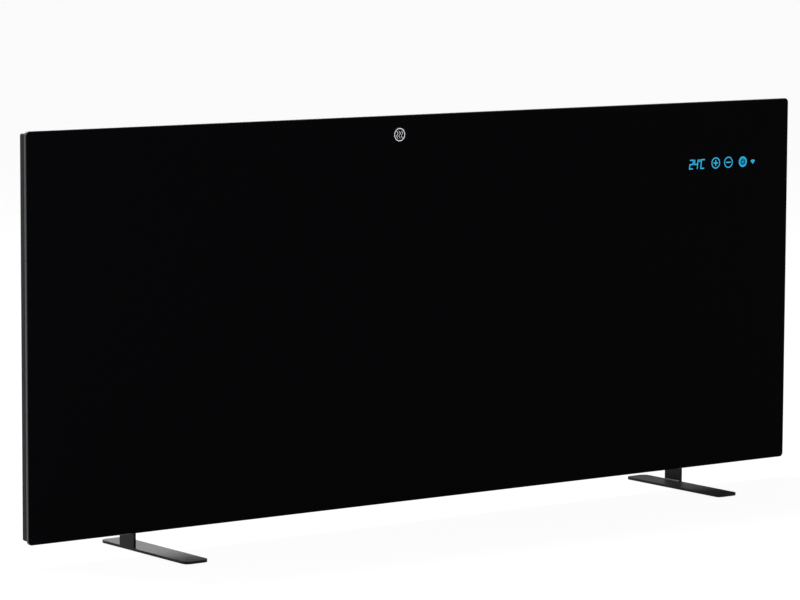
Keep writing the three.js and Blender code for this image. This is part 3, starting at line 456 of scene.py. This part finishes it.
def ribbon(first, second, at, closed=False, front=MARK_FRONT, back=glass_low.y):
    """A flat band between two rows of (x, z) points in millimetres, moved to the place at."""
    rows = [np.asarray(row, float) * MM + np.array([at.x, at.z]) for row in (first, second)]
    rings = [np.stack([row[:, 0], np.full(len(row), level), row[:, 1]], axis=1)
             for row, level in ((rows[0], front), (rows[1], front), (rows[1], back), (rows[0], back))]
    shape = np.array(rings)
    count = shape.shape[1]
    loop = np.concatenate([shape, shape[:1]])
    faces = ring_faces(5, count, closed=closed)
    if not closed:
        faces += [[0, count, 2 * count, 3 * count], [count - 1, 4 * count - 1, 3 * count - 1, 2 * count - 1]]
    faces = [[index % (4 * count) for index in face] for face in faces]
    return loop[:4].reshape(-1, 3), faces


def arc(radius, start_deg=0.0, end_deg=360.0, steps=48):
    """Points on a circle round the origin. A whole circle leaves out the end that repeats its start."""
    angles = np.radians(np.linspace(start_deg, end_deg, steps + 1))
    if abs(end_deg - start_deg) >= 360:
        angles = angles[:-1]
    return np.stack([radius * np.cos(angles), radius * np.sin(angles)], axis=1)


def ring(inner, outer, at, **options):
    """A ribbon between two circles."""
    return ribbon(arc(inner), arc(outer), at, closed=True, **options)


def disc(radius, at):
    """A round coin: the same circle at the back and at the front, each closed by a flat cap."""
    flat = arc(radius) * MM + np.array([at.x, at.z])
    return ring_mesh(np.array([np.insert(flat, 1, level, axis=1) for level in (glass_low.y, MARK_FRONT)]))


def bar(start, end, width, at, **options):
    """A straight stroke: its two edges lie half a width to each side of the line from start to end."""
    start, end = np.array(start, float), np.array(end, float)
    side = np.array([start[1] - end[1], end[0] - start[0]]) / np.linalg.norm(end - start) * width / 2
    return ribbon([start - side, end - side], [start + side, end + side], at, **options)


print("the print is", round(MARK_THICK / MM, 3), "mm thick")


# %% [markdown]
# ## Plus, minus and standby
# Two keys are rings with a sign in them. The standby key is a filled disc with a brighter rim and a dark symbol,
# which lies on it as a second layer of print.

# %% Plus, minus and standby
KEY_RADIUS = 6.9
POWER_RADIUS = 6.5
STROKE = 1.25
PLUS_REACH, PLUS_STROKE = 3.7, 1.4
MINUS_REACH, MINUS_STROKE = 3.5, 1.5
SYMBOL_ARC = (125, 415, 30)  # from, to, steps
ICON_SHIFT = Vector((-0.8 * MM, 0, -0.25 * MM))
POWER_SHIFT = Vector((-0.1 * MM, 0, -0.3 * MM))
plus_at, minus_at, power_at = (centre(f"touch_pad_{name}") + ICON_SHIFT for name in ("plus", "minus", "power"))
plus_sign = [ring(KEY_RADIUS - STROKE, KEY_RADIUS, plus_at),
             bar((-PLUS_REACH, 0), (PLUS_REACH, 0), PLUS_STROKE, plus_at),
             bar((0, PLUS_STROKE / 2), (0, PLUS_REACH), PLUS_STROKE, plus_at),
             bar((0, -PLUS_REACH), (0, -PLUS_STROKE / 2), PLUS_STROKE, plus_at)]
make_piece("icon_plus", joined(plus_sign), lit_blue)
minus_sign = [ring(KEY_RADIUS - STROKE, KEY_RADIUS, minus_at),
              bar((-MINUS_REACH, 0), (MINUS_REACH, 0), MINUS_STROKE, minus_at)]
make_piece("icon_minus", joined(minus_sign), lit_blue)
power_at = power_at + POWER_SHIFT
make_piece("icon_power", disc(POWER_RADIUS - STROKE, power_at), lit_field)
make_piece("icon_power_rim", ring(POWER_RADIUS - STROKE, POWER_RADIUS, power_at), lit_blue)
symbol_face = {"front": MARK_FRONT - MARK_THICK, "back": MARK_FRONT}
symbol_arc = ribbon(arc(2.3, *SYMBOL_ARC), arc(3.5, *SYMBOL_ARC), power_at, **symbol_face)
symbol = [symbol_arc, bar((0, 0.6), (0, 4.1), 1.2, power_at, **symbol_face)]
make_piece("icon_power_symbol", joined(symbol), black_ink)
key_steps = [round(step / MM, 1) for step in (minus_at.x - plus_at.x, power_at.x - minus_at.x)]
print("steps from key to key, in mm:", key_steps)

# %% [markdown]
# ## Signal icon
# The wireless signal icon is three bands of one circle, 88 degrees wide, opening upwards. At this size they
# nearly run together in the picture, as the real lit ones do.

# %% Wireless signal fan
FAN_SHIFT = Vector((-1.5 * MM, 0, -3.9 * MM))
FAN_ARC = (46, 134, 14)  # from, to, steps
fan_at = centre("signal_light_pipe") + FAN_SHIFT
fan_bands = [(0.1, 1.9), (2.2, 3.6), (3.9, 5.4)]
fan = [ribbon(arc(a, *FAN_ARC), arc(b, *FAN_ARC), fan_at) for a, b in fan_bands]
make_piece("icon_signal", joined(fan), lit_blue)
print("signal bands:", len(fan))

# %% [markdown]
# ## Temperature digits
# The display is a row of seven-segment characters. A character is the set of its lit segments, each one a stroke
# with a small gap at its ends, and the whole row leans over slightly, as such displays do.

# %% Seven-segment characters
DIGIT_WIDE, DIGIT_HIGH, DIGIT_STROKE, DIGIT_GAP = 5.1, 10.6, 1.4, 0.3
LEAN = math.tan(math.radians(6))
LEFT_ENDS = {"2": -11.9, "4": -4.4, "C": 6.3}
DIGITS_SHIFT = Vector((0, 0, -0.6 * MM))
DEGREE_SHIFT = Vector((4.0 * MM, 0, 4.3 * MM))
SEGMENT_ENDS = {
    "top": ((0, 1), (1, 1)), "middle": ((0, 0.5), (1, 0.5)), "bottom": ((0, 0), (1, 0)),
    "upper_left": ((0, 0.5), (0, 1)), "upper_right": ((1, 0.5), (1, 1)),
    "lower_left": ((0, 0), (0, 0.5)), "lower_right": ((1, 0), (1, 0.5)),
}
CHARACTERS = {
    "2": ("top", "upper_right", "middle", "lower_left", "bottom"),
    "4": ("upper_left", "upper_right", "middle", "lower_right"),
    "C": ("top", "upper_left", "lower_left", "bottom"),
}


def character(symbol, left, at):
    """Strokes between the corners of a box DIGIT_WIDE by DIGIT_HIGH, leaned by its height."""
    strokes = []
    for segment in CHARACTERS[symbol]:
        ends = [np.array([left + u * DIGIT_WIDE, (v - 0.5) * DIGIT_HIGH]) for u, v in SEGMENT_ENDS[segment]]
        step = (ends[1] - ends[0]) / np.linalg.norm(ends[1] - ends[0]) * (DIGIT_GAP - DIGIT_STROKE / 2)
        ends = [ends[0] + step, ends[1] - step]
        leaned = [(x + LEAN * z, z) for x, z in ends]
        strokes.append(bar(*leaned, DIGIT_STROKE, at))
    return strokes


digits_at = centre("digit_light_guide") + DIGITS_SHIFT
row = [stroke for symbol, left in LEFT_ENDS.items() for stroke in character(symbol, left, digits_at)]
row.append(ring(0.7, 1.6, digits_at + DEGREE_SHIFT))
make_piece("digits_temperature", joined(row), lit_blue)
print("strokes in the display:", len(row))

# %% [markdown]
# ## Heat mark
# At the top middle is a small pale mark. Here it is a plain ring with three rising heat waves. Each wave is a
# ribbon whose middle line follows a sine, with its two edges half a stroke to either side.

# %% Heat mark
MARK_RADIUS, MARK_STROKE = 7.6, 0.9
MARK_X, MARK_FROM_TOP = -51.5 * MM, 22.4 * MM
WAVE_REACH, WAVE_LENGTH, WAVE_SWAY = 4.2, 6.0, 0.9
WAVE_GAP, WAVE_HALF_STROKE = 3.3, 0.32
mark_at = Vector((MARK_X, 0, glass_high.z - MARK_FROM_TOP))
rise = np.linspace(-WAVE_REACH, WAVE_REACH, 25)
sway = WAVE_SWAY * np.sin(rise * 2 * np.pi / WAVE_LENGTH)
heat = [ring(MARK_RADIUS - MARK_STROKE, MARK_RADIUS, mark_at)]
for shift in (-WAVE_GAP, 0.0, WAVE_GAP):
    edges = [np.stack([sway + shift + side * WAVE_HALF_STROKE, rise], axis=1) for side in (-1, 1)]
    heat.append(ribbon(*edges, mark_at))
make_piece("mark_heat", joined(heat), pale_ink)
print("waves in the heat mark:", len(heat) - 1)

# %% [markdown]
# ## Steel tray
# The back is one sheet of steel, folded up at the sides and pressed with long stiffening beads, which keep so
# thin a sheet flat. Its outer face is a wall carried round the outline, a quarter turn of fold, and then a flat
# field whose height at each point depends on how far that point is from a bead's centre line. Solidify gives the
# sheet its thickness.

# %% Make the tray
SHEET = 1.0 * MM
FOLD = 1.8 * MM
BEAD_HALF = 5 * MM
TRAY_CORNER = 2.2 * MM
BEAD_LIFT = 1.0 * MM
BEAD_MARGIN, BEAD_SPACING, BOX_GAP = 50 * MM, 130 * MM, 25 * MM
tray_low, tray_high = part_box("rear_tray")
cover_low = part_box("control_box_cover")[0]
tray_back = cover_low.y
middle_z = (tray_low.z + tray_high.z) / 2
bead_left, bead_right = glass_low.x + BEAD_MARGIN, glass_high.x - BEAD_MARGIN
beads = [(bead_left, bead_right, middle_z - BEAD_SPACING), (bead_left, bead_right, middle_z),
         (bead_left, cover_low.x - BOX_GAP, middle_z + BEAD_SPACING)]


def stations(low, high, coarse, fine, centres, reach):
    """Places between low and high: coarse steps, with fine ones within reach of each centre."""
    places = list(np.linspace(low, high, max(2, round((high - low) / coarse)) + 1)[1:-1])
    places = [p for p in places if all(abs(p - c) > reach + fine for c in centres)]
    for c in centres:
        places += list(np.arange(c - reach, c + reach + fine / 2, fine))
    return np.unique(np.round(places, 7))


def bead_height(x, z):
    """Half a cosine wave across each bead: full height on its centre line, none past its half width."""
    height = np.zeros_like(x)
    for left, right, line in beads:
        nearest = np.clip(x, left + BEAD_HALF, right - BEAD_HALF)
        distance = np.hypot(x - nearest, z - line)
        wave = 0.5 + 0.5 * np.cos(np.pi * np.clip(distance / BEAD_HALF, 0, 1))
        height = np.maximum(height, BEAD_LIFT * wave)
    return height


ends_x = sorted({end + sign * BEAD_HALF / 2 for left, right, _ in beads for end, sign in ((left, 1), (right, -1))})
field = (tray_low.x + TRAY_CORNER, tray_high.x - TRAY_CORNER, tray_low.z + TRAY_CORNER, tray_high.z - TRAY_CORNER)
xs = stations(field[0], field[1], 45 * MM, 1.0 * MM, ends_x, 4 * MM)
zs = stations(field[2], field[3], 22 * MM, 0.8 * MM, [line for _, _, line in beads], 5.6 * MM)
tray_outline = round_outline((tray_low.x, tray_low.z), (tray_high.x, tray_high.z), TRAY_CORNER, 8, xs, zs)
turn = np.radians(np.linspace(0, 90, 7))
tray_profile = [(0, tray_low.y), (0, (tray_low.y + tray_back) / 2)]
tray_profile += [(FOLD * (1 - math.cos(a)), tray_back - FOLD * (1 - math.sin(a))) for a in turn]
tray_profile += [(TRAY_CORNER, tray_back)]
wall_points, wall_faces = ring_mesh(carried(tray_outline, TRAY_CORNER, tray_profile), False, False)
grid_x = np.concatenate([[field[0]], xs, [field[1]]])
grid_z = np.concatenate([[field[2]], zs, [field[3]]])
sheet_x, sheet_z = np.meshgrid(grid_x, grid_z)
sheet_y = tray_back + bead_height(sheet_x, sheet_z)
sheet_points = np.stack([sheet_x, sheet_y, sheet_z], axis=-1)
sheet_faces = ring_faces(len(grid_z), len(grid_x), closed=False)
tray_shape = joined([(wall_points, wall_faces), (sheet_points.reshape(-1, 3), sheet_faces)])
tray = make_piece("tray_shell", tray_shape, powder_coat, ["rear_tray"], sharp_deg=40)
outside = tray.data.polygons[len(tray.data.polygons) - 1].normal.y > 0
wall = tray.modifiers.new("sheet_thickness", "SOLIDIFY")
wall.thickness = SHEET
wall.offset = -1 if outside else 1
print("tray faces", len(tray.data.polygons), "outside", outside)

# %% [markdown]
# ## Board posts
# Four short posts are welded to the tray to hold the power board off it. Each is a turned stub with its top edge
# taken off, and sinks half a millimetre into the sheet so that no gap shows.

# %% Board posts
board_low, board_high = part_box("power_board")
POST_INSET, POST_RADIUS, POST_SINK, POST_EDGE = 5 * MM, 2.6, 0.5, 0.4
post_places = [(x, z) for x in (board_low.x + POST_INSET, board_high.x - POST_INSET)
               for z in (board_low.z + POST_INSET, board_high.z - POST_INSET)]
post_height = (board_low.y - tray_back) / MM
post_profile = [(NEAR_AXIS, -POST_SINK), (POST_RADIUS, -POST_SINK), (POST_RADIUS, post_height - POST_EDGE),
                (POST_RADIUS - POST_EDGE, post_height), (NEAR_AXIS, post_height)]
posts = [turned(post_profile, (x, tray_back, z), sides=24) for x, z in post_places]
make_piece("board_posts", joined(posts), powder_coat, ["rear_tray"])
print("posts stand", round(post_height, 1), "mm high")

# %% [markdown]
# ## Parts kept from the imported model, with softer edges
# Bent steel and moulded plastic never have knife edges. For parts whose shape is already right, a copy of the
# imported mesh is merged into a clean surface, its flat faces are joined, and a Bevel modifier rounds every sharp
# edge by a real radius. The thin highlights this leaves along the edges are what make a part look solid.

# %% Softened copies
EDGE_DEG = 30  # a sharper turn than this counts as an edge
FOOT_SHEET = 3 * MM


def softened(node, name, material, radius_mm, steps=2, body="heater", rim=None):
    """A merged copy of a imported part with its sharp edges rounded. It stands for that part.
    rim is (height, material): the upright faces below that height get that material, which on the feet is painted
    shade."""
    mesh = nodes[node].data.copy()
    mesh.name = name
    work = bmesh.new()
    work.from_mesh(mesh)
    bmesh.ops.remove_doubles(work, verts=work.verts, dist=2e-6)
    for face in work.faces:
        face.material_index = 0
    if rim:
        everything = [*work.verts, *work.edges, *work.faces]
        bmesh.ops.bisect_plane(work, geom=everything, plane_co=(0, 0, rim[0]), plane_no=(0, 0, 1), dist=1e-7)
        # Upright faces below the rim's height take the second material: on the feet this is painted shade.
        for face in work.faces:
            low = face.calc_center_median().z < rim[0]
            face.material_index = 1 if low and abs(face.normal.z) < 0.5 else 0
    bmesh.ops.dissolve_limit(work, angle_limit=math.radians(0.5), verts=work.verts, edges=work.edges,
                             delimit={"MATERIAL"})
    work.to_mesh(mesh)
    work.free()
    if mesh.has_custom_normals:
        mesh.normals_split_custom_set_from_vertices([(0, 0, 0)] * len(mesh.vertices))
    piece = dress(bpy.data.objects.new(name, mesh), material, [node], body, EDGE_DEG)
    if rim:
        mesh.materials.append(rim[1])
    bevel = piece.modifiers.new("rounded_edges", "BEVEL")
    bevel.width = radius_mm * MM
    bevel.segments = steps
    bevel.limit_method = "ANGLE"
    bevel.angle_limit = math.radians(EDGE_DEG)
    bevel.harden_normals = True
    return piece


bar_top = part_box("foot_pad_left_front")[1].z + FOOT_SHEET
# Below the top of each bar, its upright faces get painted shade: near black, with almost no sheen.
for side in ("left", "right"):
    softened(f"foot_{side}", f"foot_bar_{side}", foot_coat, 0.4, 3, rim=(bar_top, painted_shade_edge))
softened("control_box_cover", "box_cover", powder_coat, 0.35)
softened("rocker_housing", "switch_housing", polyamide, 0.25)
softened("rocker_key", "switch_key", polyamide, 0.3, body="rocker")

# %% [markdown]
# ## Screws
# The screws are button heads with a hexagon socket. A turned profile gives the dome, and the hollow's radius is
# stretched to a hexagon. The threads are inside and never seen, so the shank is plain.

# %% Screws
# Head radius and height, shank radius and length, socket radius and depth, in millimetres.
LARGE_SCREW = (4.6, 3.2, 2.4, 8.0, 1.45, 1.7)
SMALL_SCREW = (2.8, 1.8, 1.4, 3.0, 0.85, 1.0)


def screw_profile(head, height, shank, reach, socket, depth):
    """Shank, flat underside, a domed head drawn as a quarter ellipse, and a socket sunk into it."""
    dome = np.radians(np.linspace(12, 78, 7))
    rim = [(head * math.cos(a) ** 0.6, height * (0.25 + 0.75 * math.sin(a))) for a in dome]
    floor_level = height - depth
    hollow = [(socket * 1.12, height), (socket, height - 0.15), (socket, floor_level), (NEAR_AXIS, floor_level)]
    return [(NEAR_AXIS, -reach), (shank * 0.7, -reach), (shank, -reach + 0.6), (shank, 0), (head, 0)] + rim + hollow


def screw(node, head, height, shank, reach, socket, depth):
    """A button-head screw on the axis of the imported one, with its head ending at the same level."""
    low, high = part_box(node)
    at = ((low.x + high.x) / 2, high.y - height * MM, (low.z + high.z) / 2)

    def socketed(angle, radius, level):
        inside = (level > height - depth - 0.01) & (radius <= socket * 1.13) & (radius > 0.1)
        return np.where(inside, radius * hexagonal(angle), radius)

    profile = screw_profile(head, height, shank, reach, socket, depth)
    make_piece(node + "_fine", turned(profile, at, sides=36, shape=socketed), black_zinc, [node])


for name in sorted(nodes):
    if name.startswith("foot_screw"):
        screw(name, *LARGE_SCREW)
    elif name.startswith(("tray_screw", "box_screw")):
        screw(name, *SMALL_SCREW)
print("screws:", len([name for name in nodes if "screw" in name]))

# %% [markdown]
# ## Cable gland, nut and sensor
# The mains cable leaves through a gland: a hexagonal body screwed through the box's lower wall, and a ribbed
# dome nut that squeezes a seal onto the cable. Sixteen ribs round the nut give fingers a grip.

# %% Gland and nut
gland_low, gland_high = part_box("cable_gland")
gland_at = Vector((*[(gland_low[i] + gland_high[i]) / 2 for i in (0, 1)], gland_low.z))
HEX_FLAT, BORE, NECK, BARREL = 9.0, 4.2, 6.2, 7.8
gland_steps = [(BORE, 0), (NECK, 0), (NECK, 5), (HEX_FLAT - 0.6, 5), (HEX_FLAT, 5.6), (HEX_FLAT, 9.4),
               (HEX_FLAT - 0.6, 10), (BARREL, 10), (BARREL, 18.4), (BARREL - 0.6, 19), (BORE, 19), (BORE, 0)]


def with_hexagon(angle, radius, level):
    """Only the flange between the neck and the barrel is six-sided."""
    flange = (level >= 4.9) & (level <= 10.1) & (radius > BARREL + 0.1)
    return np.where(flange, radius * hexagonal(angle + np.pi / 6), radius)


def loop_mesh(profile, at, sides, shape=None):
    """A turned part with a bore: its profile comes back to its start, so there is nothing to cap."""
    points, _ = turned(profile, at, "z", sides, shape)
    return points, ring_faces(len(profile), sides)


make_piece("gland_body", loop_mesh(gland_steps, gland_at, 48, with_hexagon), polyamide,
           ["cable_gland"])

nut_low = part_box("gland_nut")[0]
nut_at = Vector((gland_at.x, gland_at.y, nut_low.z))
NUT_RADIUS, NUT_HEIGHT, RIBS = 9.6, 10.0, 16
dome = [(NUT_RADIUS * (0.62 + 0.38 * math.sin(a)), 3.4 * (1 - math.cos(a)))
        for a in np.radians(range(0, 91, 15))]
nut_steps = [(BORE, 0)] + dome + [
    (NUT_RADIUS, 5), (NUT_RADIUS, NUT_HEIGHT - 0.5), (NUT_RADIUS - 0.4, NUT_HEIGHT),
    (6.5, NUT_HEIGHT), (6.5, 4.7), (BORE, 4.7), (BORE, 0)]


def ribbed(angle, radius, level):
    """Ribs are a cosine wave round the nut, rising as the dome reaches its full radius."""
    grown = np.clip((radius - 0.9 * NUT_RADIUS) / (0.1 * NUT_RADIUS), 0, 1)
    return radius - grown * 0.35 * (1 - np.cos(RIBS * angle)) / 2


make_piece("gland_nut_ribbed", loop_mesh(nut_steps, nut_at, 96, ribbed), polyamide,
           ["gland_nut"])
print("gland", 2 * HEX_FLAT, "mm across its flats, nut with", RIBS, "ribs")

# %% [markdown]
# ## Room sensor
# The room's air is measured by a bead inside a small white capsule, which hangs below the box where warm air from
# the panel doesn't reach it. Its tip is half a sphere, and a collar stops it against the wall.

# %% Room sensor
SENSOR_RADIUS, COLLAR_RADIUS, SENSOR_LENGTH = 3.0, 4.5, 15
sensor_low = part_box("room_sensor")[0]
sensor_at = Vector((*centre("room_sensor").xy, sensor_low.z))
tip = [(SENSOR_RADIUS * math.sin(a), SENSOR_RADIUS * (1 - math.cos(a)))
       for a in np.radians(np.linspace(1, 90, 8))]
collar = [(SENSOR_RADIUS, 6), (COLLAR_RADIUS - 0.2, 6), (COLLAR_RADIUS, 6.2),
          (COLLAR_RADIUS, 7.3), (COLLAR_RADIUS - 0.2, 7.5), (SENSOR_RADIUS, 7.5)]
sensor_steps = tip + collar + [(SENSOR_RADIUS, SENSOR_LENGTH), (NEAR_AXIS, SENSOR_LENGTH)]
make_piece("sensor_capsule", turned(sensor_steps, sensor_at, "z", 32), white_plastic,
           ["room_sensor"])
print("gland at", [round(v, 4) for v in gland_at], "sensor at", [round(v, 4) for v in sensor_at])

# %% [markdown]
# ## Rubber pads
# A thin pad is glued under each end of a foot. Its edge bulges a little under the load, so its profile is part
# of a circle rather than a straight wall.

# %% Foot pads
PAD_CORNER = 3 * MM
PAD_BULGE = 0.3 * MM
for name in [name for name in nodes if name.startswith("foot_pad")]:
    low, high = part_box(name)
    outline = round_outline((low.x, low.y), (high.x, high.y), PAD_CORNER, 6)
    bulge = [(PAD_BULGE * (1 - math.sin(a)), low.z + (high.z - low.z) * (0.5 - 0.5 * math.cos(a)))
             for a in np.radians(np.linspace(0, 180, 9))]
    rings = carried(outline, PAD_CORNER, bulge, "xy")
    make_piece(name + "_soft", ring_mesh(rings), rubber, [name])
print("pads are", round((high.z - low.z) / MM, 2), "mm thick")

# %% [markdown]
# ## Switch marks
# A mains rocker carries two plain marks, a line for on and a ring for off, pad-printed in pale ink on its two faces.
# They could be painted by a mask in the key's material, but ink has its own finish and a crisp edge, so they are
# thin ribbons like the icons. Each is drawn flat, laid on its face of the key, tilted with it about the pivot,
# and rides with it.

# %% Switch marks
# The crown and the ends of the key, from its pivot in millimetres, and how far it leans at rest.
KEY_CROWN, KEY_END, KEY_TILT = 3.0, (4.2, 7.27), math.radians(-9.4)
MARK_OUT = 4.0  # from the crown to the middle of a mark
pivot = np.array(frame["joints"][0]["pos_m"])
print("switch pivot", pivot.tolist())


def on_key_face(shape, side):
    """A point (u, -h, v) goes u along the pivot, v up the face's slope from the crown, and h out of the face.
    The result is turned about the pivot by the key's tilt."""
    points, faces = shape
    slope = np.array([KEY_END[0] - KEY_CROWN, side * KEY_END[1]])
    slope = slope / np.linalg.norm(slope)
    outward = np.array([slope[1], -slope[0]]) * side
    flat = np.array([KEY_CROWN * MM, 0]) + points[:, 2:] * slope - points[:, 1:2] * outward
    out = flat[:, 0] * math.cos(KEY_TILT) + flat[:, 1] * math.sin(KEY_TILT)
    rise = flat[:, 1] * math.cos(KEY_TILT) - flat[:, 0] * math.sin(KEY_TILT)
    return np.stack([out, points[:, 0], rise], axis=1) + pivot, faces


ink_layer = {"front": -MARK_THICK, "back": 0.0}
middle = Vector((0, 0, MARK_OUT * MM))
on_line = on_key_face(bar((0, -1.8), (0, 1.8), 0.9, middle, **ink_layer), 1)
off_ring = on_key_face(ring(1.2, 1.9, middle, **ink_layer), -1)
make_piece("switch_marks", joined([on_line, off_ring]), pale_ink, body="rocker")

# %% [markdown]
# ## Finishes for the parts that stay as packed
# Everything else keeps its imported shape. Each gets the finish that its record names, through one table.

# %% Dress the rest
BY_SLOT = {
    "silicone": silicone, "bare_aluminium": aluminium, "powder_coat": powder_coat, "foot_coat": foot_coat,
    "carbon_film": carbon, "copper_foil": copper, "fibre_board": fibre, "bright_foil": foil,
    "black_plastic": polyamide, "white_plastic": white_plastic, "foam": foam, "clear_plastic": acrylic,
    "circuit_board": solder_mask, "zinc_steel": zinc, "black_screw": black_zinc, "rubber_pad": rubber,
    "brass": brass, "relay_case": relay_case, "ceramic": ceramic, "red_lead": red_lead, "grey_lead": grey_lead,
    "black_glass": glass_black,
}
for entry in frame["record"]["subparts"]:
    mesh = nodes[entry["node"]].data
    mesh.materials.clear()
    mesh.materials.append(BY_SLOT[entry["material_slot"]])

# %% [markdown]
# ## Studio
# A pale floor, even light and a white surround. Soft lamps in front, behind and at the near side keep colours true.
# To the camera and to reflections the surround is plain white; to the light that falls on the heater it is a
# softer grey, so that dark parts keep their form.

# %% World
world = bpy.data.worlds.new("studio")
bpy.context.scene.world = world
world.use_nodes = True
tree = world.node_tree
tree.nodes.clear()


def seen_rays(tree):
    """1 for rays from the camera, off a glossy surface or through glass, and 0 for diffuse light."""
    path = add(tree, "LightPath")
    seen = {0: path.outputs["Is Camera Ray"], 1: path.outputs["Is Glossy Ray"]}
    both = add(tree, "Math", seen, operation="MAXIMUM")
    return add(tree, "Math", {0: both.outputs[0], 1: path.outputs["Is Transmission Ray"]},
               operation="MAXIMUM").outputs[0]


AMBIENT = 0.55
soft = add(tree, "Background", {"Color": (1, 1, 1, 1), "Strength": AMBIENT})
white = add(tree, "Background", {"Color": (1, 1, 1, 1), "Strength": 1.0})
surround = add(tree, "MixShader", {0: seen_rays(tree), 1: soft.outputs[0], 2: white.outputs[0]})
add(tree, "OutputWorld", {"Surface": surround.outputs[0]})
print("ambient light on the heater:", AMBIENT)

# %% [markdown]
# ## Floor
# The floor is white to the camera and keeps a faint share of the real, lit floor, so that the heater's shadow
# stays. A large plane is simpler than a curved backdrop, and its far edge is never seen against the white world.

# %% Floor
FLOOR_HALF = 45.0
SHADOW_SHARE = 0.08
floor_material, tree = new_material("White studio floor")
matt = add(tree, "BsdfDiffuse", {"Color": linear("#F4F4F4")})
plain = add(tree, "Emission", {"Color": (1, 1, 1, 1), "Strength": 1.0})
share = add(tree, "Math", {0: seen_rays(tree), 1: 1 - SHADOW_SHARE}, operation="MULTIPLY")
mixed = add(tree, "MixShader", {0: share.outputs[0], 1: matt.outputs[0], 2: plain.outputs[0]})
add(tree, "OutputMaterial", {"Surface": mixed.outputs[0]})
floor_mesh = bpy.data.meshes.new("floor")
corners = [(-FLOOR_HALF, -FLOOR_HALF, 0), (FLOOR_HALF, -FLOOR_HALF, 0),
           (FLOOR_HALF, FLOOR_HALF, 0), (-FLOOR_HALF, FLOOR_HALF, 0)]
floor_mesh.from_pydata(corners, [], [(0, 1, 2, 3)])
floor_mesh.materials.append(floor_material)
floor = bpy.data.objects.new("floor", floor_mesh)
bpy.context.scene.collection.objects.link(floor)
print("floor", 2 * FLOOR_HALF, "m wide")

# %% [markdown]
# ## Lamps
# Four soft area lamps light the heater from the front, the back and its near side. They are hidden from the
# camera, and no lamp is brighter than it takes to show a dark coat's form.

# %% Lamps
def lamp(name, place, size, watts, aim=(0, 0, 0.25)):
    """A soft rectangular lamp that faces aim and is hidden from the camera."""
    data = bpy.data.lights.new(name, "AREA")
    data.shape = "RECTANGLE"
    data.size, data.size_y = size
    data.energy = watts
    made = bpy.data.objects.new(name, data)
    made.location = place
    made.rotation_euler = (Vector(aim) - Vector(place)).to_track_quat("-Z", "Y").to_euler()
    made.visible_camera = False
    bpy.context.scene.collection.objects.link(made)


lamp("key_lamp", (-2.2, -2.6, 2.6), (2.4, 1.6), 60)
lamp("fill_lamp", (2.8, -2.0, 1.8), (2.0, 1.6), 25)
lamp("back_lamp", (-0.6, 1.4, 2.7), (1.4, 0.8), 190)
lamp("side_lamp", (-1.0, -0.4, 0.85), (0.4, 0.4), 3, aim=(-0.55, 0, 0.45))
print("lamps:", [light.name for light in bpy.data.lights])

# %% [markdown]
# ## Cards
# Photographers stand cards beside glossy things to choose what they mirror. Two stand behind the heater, seen only
# in reflections. A white one hangs high and brightens the top of the left foot. The panel hides it from the foot's
# front end, which stays darker, as the photographed one does. A low grey one keeps the white studio out of the
# right foot.

# %% Cards
CARD_PLACE = 1.1


def card(name, left, right, bottom, top, colour, strength):
    """An upright sheet across the mirror direction of one foot. It gives its own light to glossy rays alone."""
    material, tree = new_material(name)
    own = add(tree, "Emission", {"Color": linear(colour), "Strength": strength})
    add(tree, "OutputMaterial", {"Surface": own.outputs[0]})
    mesh = bpy.data.meshes.new(name)
    corners = [(left, CARD_PLACE, bottom), (right, CARD_PLACE, bottom),
               (right, CARD_PLACE, top), (left, CARD_PLACE, top)]
    mesh.from_pydata(corners, [], [(0, 1, 2, 3)])
    mesh.materials.append(material)
    made = bpy.data.objects.new(name, mesh)
    made.visible_camera = made.visible_diffuse = made.visible_shadow = made.visible_transmission = False
    bpy.context.scene.collection.objects.link(made)
    print(name, round(right - left, 2), "m wide")


card("white_card", -0.3, 0.85, 0.3, 1.3, "#FFFFFF", 3.3)
card("grey_card", 0.95, 2.6, 0, 0.4, "#686868", 1.0)
